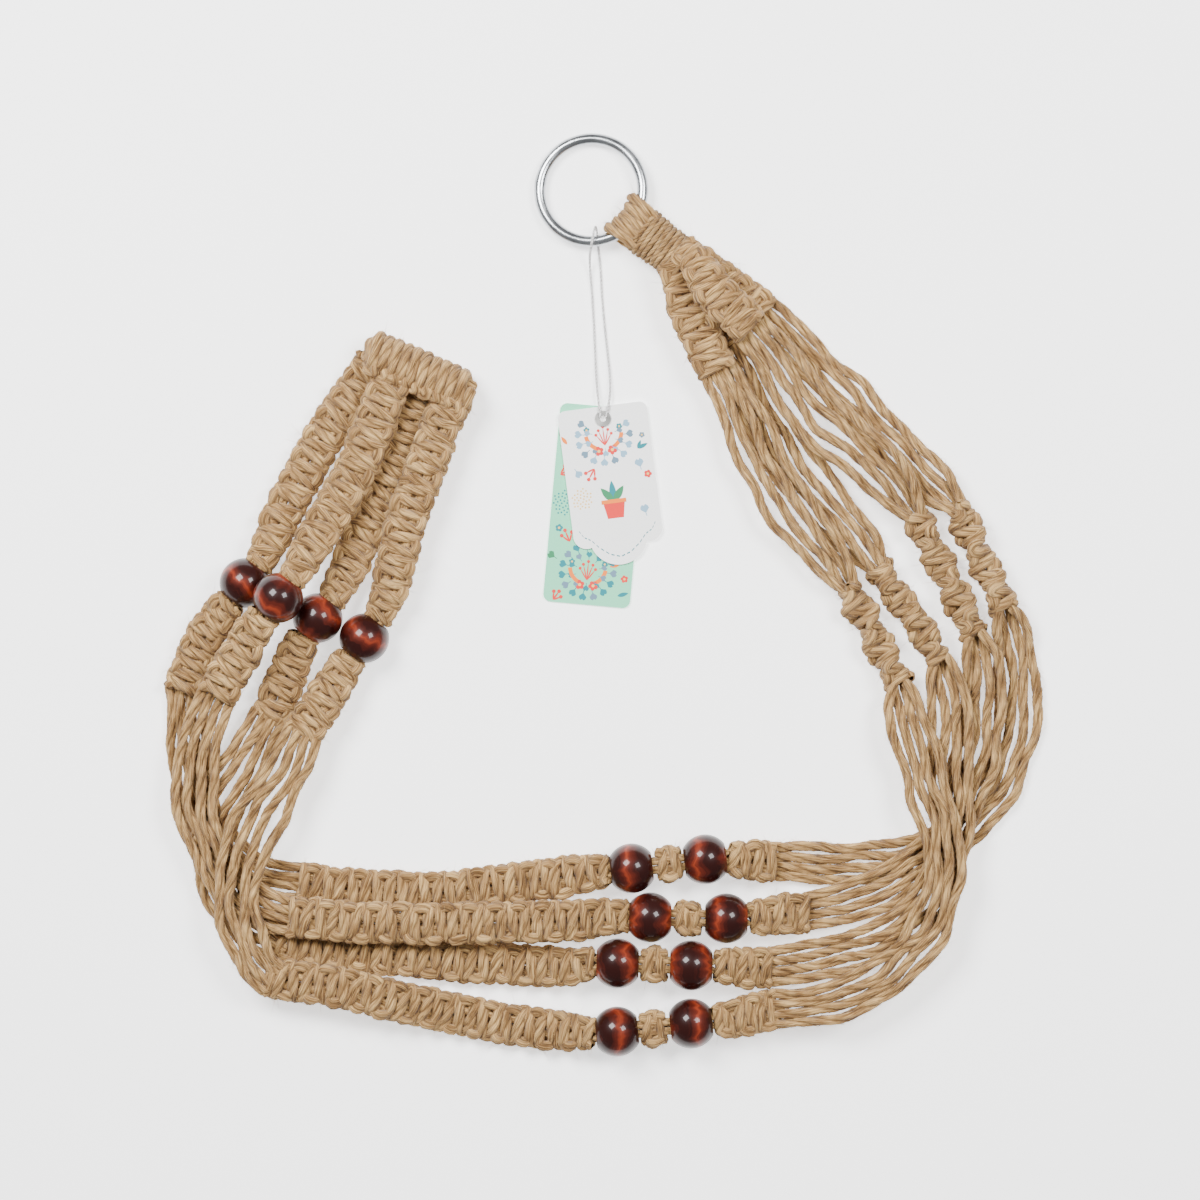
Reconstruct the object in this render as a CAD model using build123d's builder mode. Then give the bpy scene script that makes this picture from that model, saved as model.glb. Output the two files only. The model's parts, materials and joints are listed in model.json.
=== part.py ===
"""Hanging macrame planter, gathered and laid flat: ring, knotted sinnets, loose cords, beads and tag.

The planter lies on the XY plane with +Z up. The origin is the middle of its outline, on the floor.
Four legs run from the ring to the base knot. Each leg is, in order: a short neck sinnet, four loose
cords, a half-knot spiral, four loose cords, a lead sinnet, two beads with a knot between them, a long
sinnet, four loose cords, a short basket sinnet, a bead, and the basket sinnet that ends in the base knot.
"""

from build123d import *
import os
from math import asin, cos, pi, radians, sin, sqrt, tan

# ---------------------------------------------------------------- driving dimensions, millimetres
cord_diameter = 3.8
cord_gap = 0.2

knot_width = 16.0
knot_thickness = 8.0
knot_corner = 2.4
bundle = 7.4
bundle_gap = 0.4
cord_tuck = 1.6
level_gap = 0.3
spiral_diameter = 13.5
spiral_height = 7.0

bead_diameter = 20.0
bead_hole = 9.0
bead_clearance = 0.3
bead_edge = 0.8

ring_diameter = 46.0
ring_wire = 4.6
ring_neck_angle = -38.5
ring_centre = (-3.6, 162.4)
loop_count = 5
loop_pitch_angle = 10.4
loop_gap_angle = 0.9
loop_cord = 3.5
loop_clearance = 0.4
floor_gap = 0.4

wrap_start = 8.8
wrap_end = 23.0
wrap_diameter = 18.4
wrap_lift = 0.8

base_knot_diameter = 18.0
base_knot_tuck = 4.0

string_diameter = 1.1
card_thickness = 0.5
card_gap = 0.3
card_corner = 3.0
back_card_size = (35.0, 80.0)
front_card_size = (36.0, 50.0)
front_card_lobe = 14.0
card_hole_margin = 5.0
card_hole_diameter = 4.6
eyelet_diameter = 4.0
eyelet_bore = 2.4
eyelet_flange = 6.4
eyelet_flange_thickness = 0.3
card_hole = (1.2, 70.8)
back_card_lean = -5.2
front_card_lean = 7.5

# ---------------------------------------------------------------- sizes worked out from those
level = knot_thickness + level_gap
LOW = knot_thickness / 2
HIGH = LOW + level
TOP = HIGH + level
bead_radius = bead_diameter / 2
bead_face = sqrt(bead_radius**2 - (bead_hole / 2) ** 2) + 0.07 + bead_clearance
core_radius = bead_hole / 2 - bead_clearance
ring_radius = (ring_diameter - ring_wire) / 2
loop_outer = ring_wire / 2 + loop_clearance + loop_cord
loop_inner = ring_wire / 2 + loop_clearance
neck_height = loop_outer + floor_gap
ring_tilt = asin((neck_height - ring_wire / 2) / (2 * ring_radius))
neck_out = Vector(cos(radians(ring_neck_angle)), sin(radians(ring_neck_angle)), 0)
neck_point = Vector(*ring_centre, neck_height) + neck_out * ring_radius
back_card_bottom = eyelet_flange_thickness + card_gap / 2
front_card_bottom = back_card_bottom + card_thickness + card_gap
eyelet_top = front_card_bottom + card_thickness + card_gap


def spot(point, height):
    """A place in plan at a given height."""
    return Vector(point[0], point[1], height)


def bead_side(centre, axis, side):
    """The point where a bead's neighbour begins: side is +1 or -1 along the hole's axis."""
    return centre + axis * (side * bead_face)


# ---------------------------------------------------------------- beads: centres and hole axes
# Band beads sit two to a leg; the hole axis is the line through both. First the left bead, then the right.
band_bead_places = {
    1: ((12.6, -109.2), (42.0, -105.6)),
    2: ((20.0, -128.8), (50.4, -129.2)),
    3: ((7.0, -147.2), (36.4, -148.0)),
    4: ((6.8, -174.4), (36.4, -171.2)),
}
basket_hole_axis = Vector(0.6, 0.8, 0)
basket_bead_gap = bead_diameter + bead_clearance
basket_bead_1 = spot((-142.0, 4.8), bead_radius)
basket_bead_3 = spot((-112.8, -9.2), bead_radius)
basket_bead_2_place = (-127.6, -1.2)
basket_bead_2_reach = min(
    (spot(basket_bead_2_place, bead_radius) - basket_bead_1).length,
    (spot(basket_bead_2_place, bead_radius) - basket_bead_3).length,
)
basket_bead_2_rise = sqrt(max(basket_bead_gap**2 - basket_bead_2_reach**2, 0))
basket_bead_2 = spot(basket_bead_2_place, bead_radius + basket_bead_2_rise)
basket_bead_4 = basket_bead_3 + Vector(0.918, -0.397, 0).normalized() * basket_bead_gap
basket_beads = {1: basket_bead_1, 2: basket_bead_2, 3: basket_bead_3, 4: basket_bead_4}

band_beads = {}
band_axes = {}
for leg, (left, right) in band_bead_places.items():
    band_beads[leg] = (spot(left, bead_radius), spot(right, bead_radius))
    band_axes[leg] = (band_beads[leg][1] - band_beads[leg][0]).normalized()

# ---------------------------------------------------------------- sinnet centre lines
# Each sinnet is a list of places (x, y, height) along its middle. A width and a thickness after the
# height make it narrower there. LOW, HIGH and TOP are the levels at which flat sinnets lie over each other.
neck_sinnets = {
    1: [(39.9, 134.0, 5.0, bundle, bundle), (45.4, 128.0, LOW), (54.8, 121.2, LOW), (64.4, 114.0, LOW)],
    2: [(38.4, 132.1, 18.4, bundle, bundle), (40.8, 127.0, TOP), (48.8, 116.4, TOP), (58.4, 107.2, TOP)],
    3: [(32.4, 125.2, 5.0, bundle, bundle), (35.2, 114.4, LOW), (42.4, 107.2, LOW), (50.8, 100.4, LOW)],
    4: [(31.6, 124.2, 13.0, bundle, bundle), (34.3, 115.0, HIGH), (39.6, 104.4, HIGH), (46.0, 91.2, HIGH)],
}
# At the wrap each sinnet starts as a bundle: its quarter is given as (across, up) from the wrap's middle.
neck_quarters = {1: (1, -1), 2: (1, 1), 3: (-1, -1), 4: (-1, 1)}
neck_sinnet_ends = {1: (0.79, -0.61), 2: (0.72, -0.69), 3: (0.6, -0.8), 4: (0.45, -0.89)}
spirals = {
    1: ((143.6, 34.8), (161.6, -4.8)),
    2: ((127.2, 30.4), (149.6, -14.8)),
    3: ((111.6, 10.8), (135.6, -24.4)),
    4: ((100.0, 2.4), (119.6, -34.8)),
}
# Lead sinnets run from the right bead out to the loose cords.
lead_sinnets = {
    1: [(59.2, -106.4, 8.0), (67.6, -106.8, 6.2)],
    2: [(69.6, -127.6, 9.0), (80.8, -127.2, 8.0)],
    3: [(54.0, -148.6, 10.0), (66.0, -148.8, 10.0)],
    4: [(55.2, -168.4, 10.0), (68.4, -165.2, 10.0)],
}
# Long sinnets run from the left bead out to the loose cords of the basket.
long_sinnets = {
    1: [(-1.6, -110.8, 7.5), (-14.8, -113.2, LOW), (-39.2, -116.0, LOW), (-63.2, -119.2, LOW),
        (-87.6, -118.8, LOW), (-106.8, -117.2, LOW), (-115.6, -115.6, LOW)],
    2: [(4.8, -128.7, 11.0), (-10.0, -129.6, HIGH), (-39.2, -130.8, HIGH), (-68.0, -131.2, HIGH),
        (-97.2, -130.8, HIGH), (-110.0, -129.6, HIGH), (-118.8, -128.8, HIGH)],
    3: [(-8.0, -148.2, 7.5), (-24.4, -148.8, LOW), (-48.8, -147.2, LOW), (-73.2, -145.2, LOW),
        (-97.2, -143.2, LOW), (-116.0, -140.8, LOW), (-125.2, -139.6, LOW)],
    4: [(-8.6, -174.6, 7.5), (-20.0, -174.0, LOW), (-39.2, -171.6, LOW), (-62.0, -167.0, LOW),
        (-86.0, -160.8, HIGH), (-104.0, -156.4, HIGH), (-120.0, -154.4, HIGH), (-129.2, -153.6, HIGH)],
}
long_sinnet_ends = {1: (-1, 0.05), 2: (-1, 0.05), 3: (-1, 0.05), 4: (-0.8, 0.6)}
# Short basket sinnets run from the loose cords up to the basket bead.
short_sinnets = {
    1: [(-166.8, -36.4, LOW), (-160.8, -21.2, LOW), (-153.6, -9.6, 7.0)],
    2: [(-152.0, -38.0, HIGH), (-144.8, -26.4, 15.0), (-138.4, -15.6, 19.5)],
    3: [(-132.0, -47.2, LOW), (-127.2, -36.8, LOW), (-122.0, -25.2, 7.0)],
    4: [(-118.0, -53.6, HIGH), (-111.2, -43.6, HIGH), (-104.0, -32.4, 11.0)],
}
short_sinnet_starts = {1: (0.1, 1), 2: (0.45, 0.89), 3: (0.4, 0.91), 4: (0.4, 0.91)}
# Basket sinnets run from the basket bead up into the base knot.
basket_sinnets = {
    1: [(-131.6, 20.8, 7.5), (-126.0, 35.6, LOW), (-117.2, 52.0, LOW), (-108.0, 68.0, LOW),
        (-99.2, 80.4, LOW), (-93.2, 89.6, LOW)],
    2: [(-116.8, 15.2, 20.0), (-110.0, 28.0, 15.6), (-102.4, 41.2, 13.2), (-95.2, 54.8, HIGH),
        (-89.6, 68.8, HIGH), (-84.0, 83.6, HIGH)],
    3: [(-102.6, 6.4, 7.5), (-96.8, 20.0, LOW), (-88.8, 36.8, LOW), (-81.6, 52.0, LOW),
        (-76.8, 66.0, LOW), (-73.0, 78.0, LOW)],
    4: [(-84.8, -1.2, 11.0), (-81.2, 14.0, HIGH), (-76.8, 32.0, HIGH), (-71.2, 46.8, HIGH),
        (-66.4, 60.0, HIGH), (-61.2, 74.4, HIGH)],
}
base_knot_line = ((-92.4, 98.0), (-49.6, 79.6))

# ---------------------------------------------------------------- loose cords: four to a leg, point by point
NECK_CORDS = {
    1: [
        [(60.7, 109.3, 2.3), (67.7, 102.6, 2.2), (75.0, 95.1, 2.2), (86.1, 82.7, 2.2), (97.0, 73.6, 2.2),
         (106.9, 62.6, 2.2), (115.8, 52.5, 2.4), (124.6, 43.9, 4.0), (132.7, 37.0, 8.3),
         (142.0, 33.5, 9.2)],
        [(63.2, 112.4, 2.3), (70.6, 105.7, 2.2), (78.1, 98.1, 2.2), (89.2, 86.0, 2.2),
         (100.1, 76.8, 2.2), (110.3, 65.7, 2.2), (119.1, 55.6, 2.4), (127.7, 47.2, 4.0),
         (135.7, 40.1, 4.1), (142.0, 33.5, 4.8)],
        [(65.6, 115.6, 2.3), (73.4, 108.7, 2.2), (81.1, 101.1, 2.2), (92.4, 89.2, 2.2),
         (103.1, 80.0, 2.2), (113.8, 68.8, 2.2), (122.4, 58.7, 2.4), (130.7, 50.4, 4.0),
         (138.7, 43.1, 4.1), (145.2, 36.1, 4.8)],
        [(68.1, 118.7, 2.3), (76.3, 111.8, 2.2), (84.2, 104.1, 2.2), (95.5, 92.5, 2.2),
         (106.2, 83.2, 2.2), (117.1, 71.8, 2.2), (125.8, 61.9, 2.4), (133.8, 53.7, 4.0),
         (141.7, 46.2, 8.3), (145.2, 36.1, 9.2)],
    ],
    2: [
        [(54.2, 102.9, 18.6), (60.1, 96.7, 17.2), (65.3, 88.2, 15.4), (71.0, 76.9, 15.4),
         (79.5, 65.9, 15.4), (89.6, 55.1, 15.4), (100.6, 47.9, 15.4), (109.6, 41.6, 14.2),
         (116.8, 34.2, 12.7), (125.6, 29.2, 9.3)],
        [(57.0, 105.8, 18.6), (63.2, 99.4, 17.2), (69.3, 91.1, 15.4), (75.7, 80.3, 15.4),
         (83.9, 70.0, 15.4), (93.9, 60.3, 15.4), (104.9, 53.0, 15.4), (113.3, 45.1, 14.2),
         (120.3, 36.7, 8.3), (125.6, 29.2, 5.1)],
        [(59.8, 108.6, 18.6), (66.4, 102.2, 17.2), (73.2, 93.8, 15.4), (80.0, 83.4, 15.4),
         (88.4, 74.2, 15.4), (97.6, 64.7, 15.4), (107.8, 56.5, 15.4), (117.2, 48.7, 14.2),
         (123.7, 39.3, 8.3), (128.8, 31.6, 5.1)],
        [(62.6, 111.5, 18.6), (69.5, 104.9, 17.2), (76.9, 96.4, 15.4), (84.9, 87.0, 15.4),
         (93.0, 78.6, 15.4), (102.5, 70.5, 15.4), (112.0, 61.4, 15.4), (120.4, 51.6, 14.2),
         (127.2, 41.8, 12.7), (128.8, 31.6, 9.3)],
    ],
    3: [
        [(46.0, 96.8, 5.9), (51.0, 88.8, 6.5), (55.0, 78.5, 6.6), (59.0, 66.2, 6.6), (65.9, 53.5, 6.6),
         (73.8, 41.0, 6.6), (83.9, 30.2, 6.6), (94.3, 21.4, 6.6), (101.3, 13.6, 4.7), (109.9, 9.6, 4.8)],
        [(49.2, 99.2, 5.9), (54.6, 90.9, 6.5), (59.5, 80.6, 6.6), (64.0, 68.6, 6.6), (70.1, 56.1, 6.6),
         (78.7, 44.9, 6.6), (88.2, 34.0, 6.6), (97.9, 24.6, 6.6), (104.7, 16.3, 8.9), (109.9, 9.6, 9.2)],
        [(52.4, 101.6, 5.9), (58.2, 93.1, 6.5), (63.9, 82.7, 6.6), (68.9, 71.0, 6.6), (75.8, 59.6, 6.6),
         (84.0, 49.0, 6.6), (92.1, 37.5, 6.6), (101.6, 27.7, 6.6), (108.1, 18.9, 8.9),
         (113.3, 12.0, 9.2)],
        [(55.6, 104.0, 5.9), (61.8, 95.2, 6.5), (68.3, 84.8, 6.6), (73.9, 73.5, 6.6), (80.4, 62.5, 6.6),
         (88.4, 52.5, 6.6), (97.0, 41.7, 6.6), (105.2, 30.8, 6.6), (111.5, 21.6, 4.7),
         (113.3, 12.0, 4.8)],
    ],
    4: [
        [(40.6, 88.5, 11.3), (46.1, 79.0, 11.0), (50.7, 67.7, 11.0), (54.9, 55.8, 11.0),
         (59.7, 43.3, 11.0), (66.8, 31.4, 11.0), (76.1, 21.8, 11.0), (84.1, 13.5, 10.4),
         (90.4, 5.7, 10.8), (98.2, 1.4, 9.2)],
        [(44.2, 90.3, 11.3), (49.8, 81.0, 11.0), (55.2, 69.8, 11.0), (59.7, 58.0, 11.0),
         (65.3, 46.4, 11.0), (71.7, 34.9, 11.0), (80.6, 25.4, 11.0), (87.8, 16.3, 10.4),
         (93.9, 8.0, 6.4), (98.2, 1.4, 4.8)],
        [(47.8, 92.1, 11.3), (53.4, 83.0, 11.0), (59.4, 71.8, 11.0), (65.1, 60.4, 11.0),
         (70.0, 48.9, 11.0), (77.3, 38.9, 11.0), (84.5, 28.5, 11.0), (91.3, 18.9, 10.4),
         (97.3, 10.4, 6.4), (101.8, 3.4, 4.8)],
        [(51.4, 93.9, 11.3), (57.1, 85.0, 11.0), (63.8, 73.9, 11.0), (69.8, 62.5, 11.0),
         (75.9, 51.9, 11.0), (81.3, 41.7, 11.0), (88.2, 31.4, 11.0), (95.2, 21.8, 10.4),
         (100.8, 12.7, 10.8), (101.8, 3.4, 9.2)],
    ],
}
WAIST_CORDS = {
    1: [
        [(159.7, -5.6, 9.2), (158.0, -13.4, 7.8), (160.0, -23.1, 2.2), (160.7, -36.0, 2.2),
         (160.0, -48.5, 2.2), (158.4, -60.7, 2.2), (154.3, -72.4, 2.2), (148.0, -82.7, 2.2),
         (139.3, -92.1, 2.2), (128.2, -97.9, 2.2), (115.2, -100.6, 2.2), (101.1, -101.0, 2.2),
         (86.5, -101.2, 2.8), (76.3, -101.1, 3.6), (67.6, -100.8, 4.2)],
        [(159.7, -5.6, 4.8), (162.0, -12.2, 3.4), (164.3, -22.4, 2.2), (165.7, -35.7, 2.2),
         (165.6, -49.0, 2.2), (163.0, -62.1, 2.2), (158.2, -74.5, 2.2), (151.5, -85.4, 2.2),
         (141.9, -95.5, 2.2), (129.7, -102.0, 2.2), (115.7, -105.0, 2.2), (101.2, -105.4, 2.2),
         (86.4, -105.5, 2.8), (76.1, -105.2, 3.6), (67.6, -104.8, 4.2)],
        [(163.5, -4.0, 4.8), (166.0, -11.0, 3.4), (168.5, -21.6, 2.2), (170.5, -35.5, 2.2),
         (170.8, -49.4, 2.2), (167.7, -63.4, 2.2), (162.5, -76.7, 2.2), (154.9, -88.2, 2.2),
         (144.5, -98.9, 2.2), (131.1, -106.0, 2.2), (116.3, -109.4, 2.2), (101.2, -109.8, 2.2),
         (86.4, -109.7, 2.8), (75.9, -109.0, 3.6), (67.6, -108.8, 4.2)],
        [(163.5, -4.0, 9.2), (170.0, -9.8, 7.8), (172.8, -20.9, 2.2), (175.2, -35.2, 2.2),
         (175.8, -49.9, 2.2), (172.7, -64.9, 2.2), (166.4, -78.7, 2.2), (158.4, -90.9, 2.2),
         (147.1, -102.3, 2.2), (132.6, -110.1, 2.2), (116.8, -113.8, 2.2), (101.3, -114.2, 2.2),
         (86.3, -114.0, 2.8), (75.7, -113.1, 3.6), (67.6, -112.8, 4.2)],
    ],
    2: [
        [(147.7, -15.6, 9.2), (145.9, -23.4, 9.2), (146.9, -33.7, 6.6), (145.6, -46.1, 6.6),
         (143.9, -58.9, 6.6), (141.1, -72.2, 6.6), (138.3, -84.3, 6.6), (132.8, -95.0, 6.6),
         (123.9, -104.0, 6.6), (112.9, -110.3, 6.6), (100.9, -115.0, 6.6), (88.9, -119.1, 6.6),
         (80.5, -121.2, 6.6)],
        [(147.7, -15.6, 4.8), (150.0, -22.5, 4.8), (151.2, -33.4, 6.6), (150.7, -46.5, 6.6),
         (148.4, -59.8, 6.6), (145.9, -73.5, 6.6), (142.4, -86.0, 6.6), (136.3, -97.5, 6.6),
         (126.6, -107.5, 6.6), (114.9, -114.2, 6.6), (102.4, -119.3, 6.6), (89.9, -123.2, 6.6),
         (80.7, -125.2, 6.6)],
        [(151.5, -14.0, 4.8), (154.0, -21.5, 4.8), (155.7, -33.0, 6.6), (156.3, -47.0, 6.6),
         (154.1, -61.0, 6.6), (150.4, -74.6, 6.6), (146.4, -87.6, 6.6), (139.7, -100.1, 6.6),
         (129.4, -110.9, 6.6), (117.1, -118.6, 6.6), (104.0, -123.9, 6.6), (90.9, -127.2, 6.6),
         (80.9, -129.2, 6.6)],
        [(151.5, -14.0, 9.2), (158.1, -20.6, 9.2), (160.6, -32.7, 6.6), (161.2, -47.5, 6.6),
         (158.7, -61.9, 6.6), (155.2, -75.9, 6.6), (150.5, -89.3, 6.6), (143.2, -102.6, 6.6),
         (132.1, -114.4, 6.6), (119.1, -122.6, 6.6), (105.4, -128.2, 6.6), (91.9, -131.3, 6.6),
         (81.1, -133.2, 6.6)],
    ],
    3: [
        [(133.7, -25.2, 9.2), (131.0, -32.5, 10.8), (132.5, -42.8, 11.0), (132.7, -55.4, 11.0),
         (132.6, -69.3, 11.0), (133.7, -82.9, 11.0), (134.0, -95.9, 11.0), (132.2, -107.7, 11.0),
         (127.4, -117.8, 11.0), (119.0, -125.9, 11.0), (108.3, -132.3, 11.0), (95.7, -136.7, 11.0),
         (83.1, -140.1, 10.6), (74.0, -141.9, 10.2), (66.0, -142.8, 10.0)],
        [(133.7, -25.2, 4.8), (135.1, -31.6, 6.4), (137.0, -42.3, 11.0), (137.8, -55.3, 11.0),
         (137.5, -69.2, 11.0), (138.2, -82.8, 11.0), (138.3, -96.2, 11.0), (136.3, -109.0, 11.0),
         (131.0, -120.3, 11.0), (121.8, -129.4, 11.0), (110.2, -136.4, 11.0), (97.0, -141.0, 11.0),
         (84.0, -144.3, 10.6), (74.5, -146.0, 10.2), (66.0, -146.8, 10.0)],
        [(137.5, -23.6, 4.8), (139.3, -30.8, 6.4), (141.4, -41.7, 11.0), (142.9, -55.1, 11.0),
         (142.5, -69.2, 11.0), (142.6, -82.8, 11.0), (142.5, -96.6, 11.0), (140.5, -110.2, 11.0),
         (134.6, -122.9, 11.0), (124.6, -133.0, 11.0), (112.2, -140.4, 11.0), (98.2, -145.4, 11.0),
         (84.8, -148.5, 10.6), (75.1, -150.0, 10.2), (66.0, -150.8, 10.0)],
        [(137.5, -23.6, 9.2), (143.4, -29.9, 10.8), (145.9, -41.2, 11.0), (147.5, -55.0, 11.0),
         (147.5, -69.1, 11.0), (147.3, -82.7, 11.0), (146.8, -96.9, 11.0), (144.6, -111.5, 11.0),
         (138.2, -125.4, 11.0), (127.4, -136.5, 11.0), (114.1, -144.5, 11.0), (99.5, -149.7, 11.0),
         (85.7, -152.7, 10.6), (75.6, -154.1, 10.2), (66.0, -154.8, 10.0)],
    ],
    4: [
        [(117.6, -35.4, 9.2), (114.6, -42.7, 12.3), (116.0, -52.8, 14.8), (119.2, -64.2, 15.4),
         (123.0, -77.0, 15.4), (127.5, -89.7, 15.4), (130.8, -102.7, 15.4), (130.8, -115.4, 15.4),
         (127.0, -127.2, 15.4), (119.7, -137.8, 15.4), (110.2, -146.3, 15.4), (99.2, -152.7, 15.4),
         (87.4, -157.5, 14.6), (77.5, -158.7, 13.0), (68.1, -159.2, 11.9)],
        [(117.6, -35.4, 4.8), (118.7, -42.0, 8.0), (120.3, -51.7, 14.8), (123.9, -62.7, 15.4),
         (128.0, -75.5, 15.4), (131.8, -88.6, 15.4), (135.1, -102.2, 15.4), (135.1, -116.1, 15.4),
         (130.9, -129.1, 15.4), (123.1, -140.6, 15.4), (113.1, -150.2, 15.4), (101.1, -156.8, 15.4),
         (88.3, -161.6, 14.6), (77.8, -162.8, 13.0), (68.3, -163.2, 11.9)],
        [(121.6, -34.2, 4.8), (122.9, -41.2, 8.0), (124.5, -50.7, 14.8), (128.1, -61.3, 15.4),
         (132.3, -74.2, 15.4), (136.2, -87.4, 15.4), (139.3, -101.8, 15.4), (139.3, -116.7, 15.4),
         (134.7, -130.9, 15.4), (126.5, -143.4, 15.4), (115.8, -153.9, 15.4), (102.9, -160.8, 15.4),
         (89.3, -165.6, 14.6), (78.2, -166.8, 13.0), (68.5, -167.2, 11.9)],
        [(121.6, -34.2, 9.2), (127.0, -40.5, 12.3), (128.8, -49.6, 14.8), (133.1, -59.7, 15.4),
         (137.0, -72.6, 15.4), (140.5, -86.3, 15.4), (143.6, -101.3, 15.4), (143.6, -117.4, 15.4),
         (138.6, -132.8, 15.4), (129.9, -146.2, 15.4), (118.5, -157.6, 15.4), (104.8, -164.9, 15.4),
         (90.2, -169.7, 14.6), (78.5, -170.9, 13.0), (68.7, -171.2, 11.9)],
    ],
}
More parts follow.
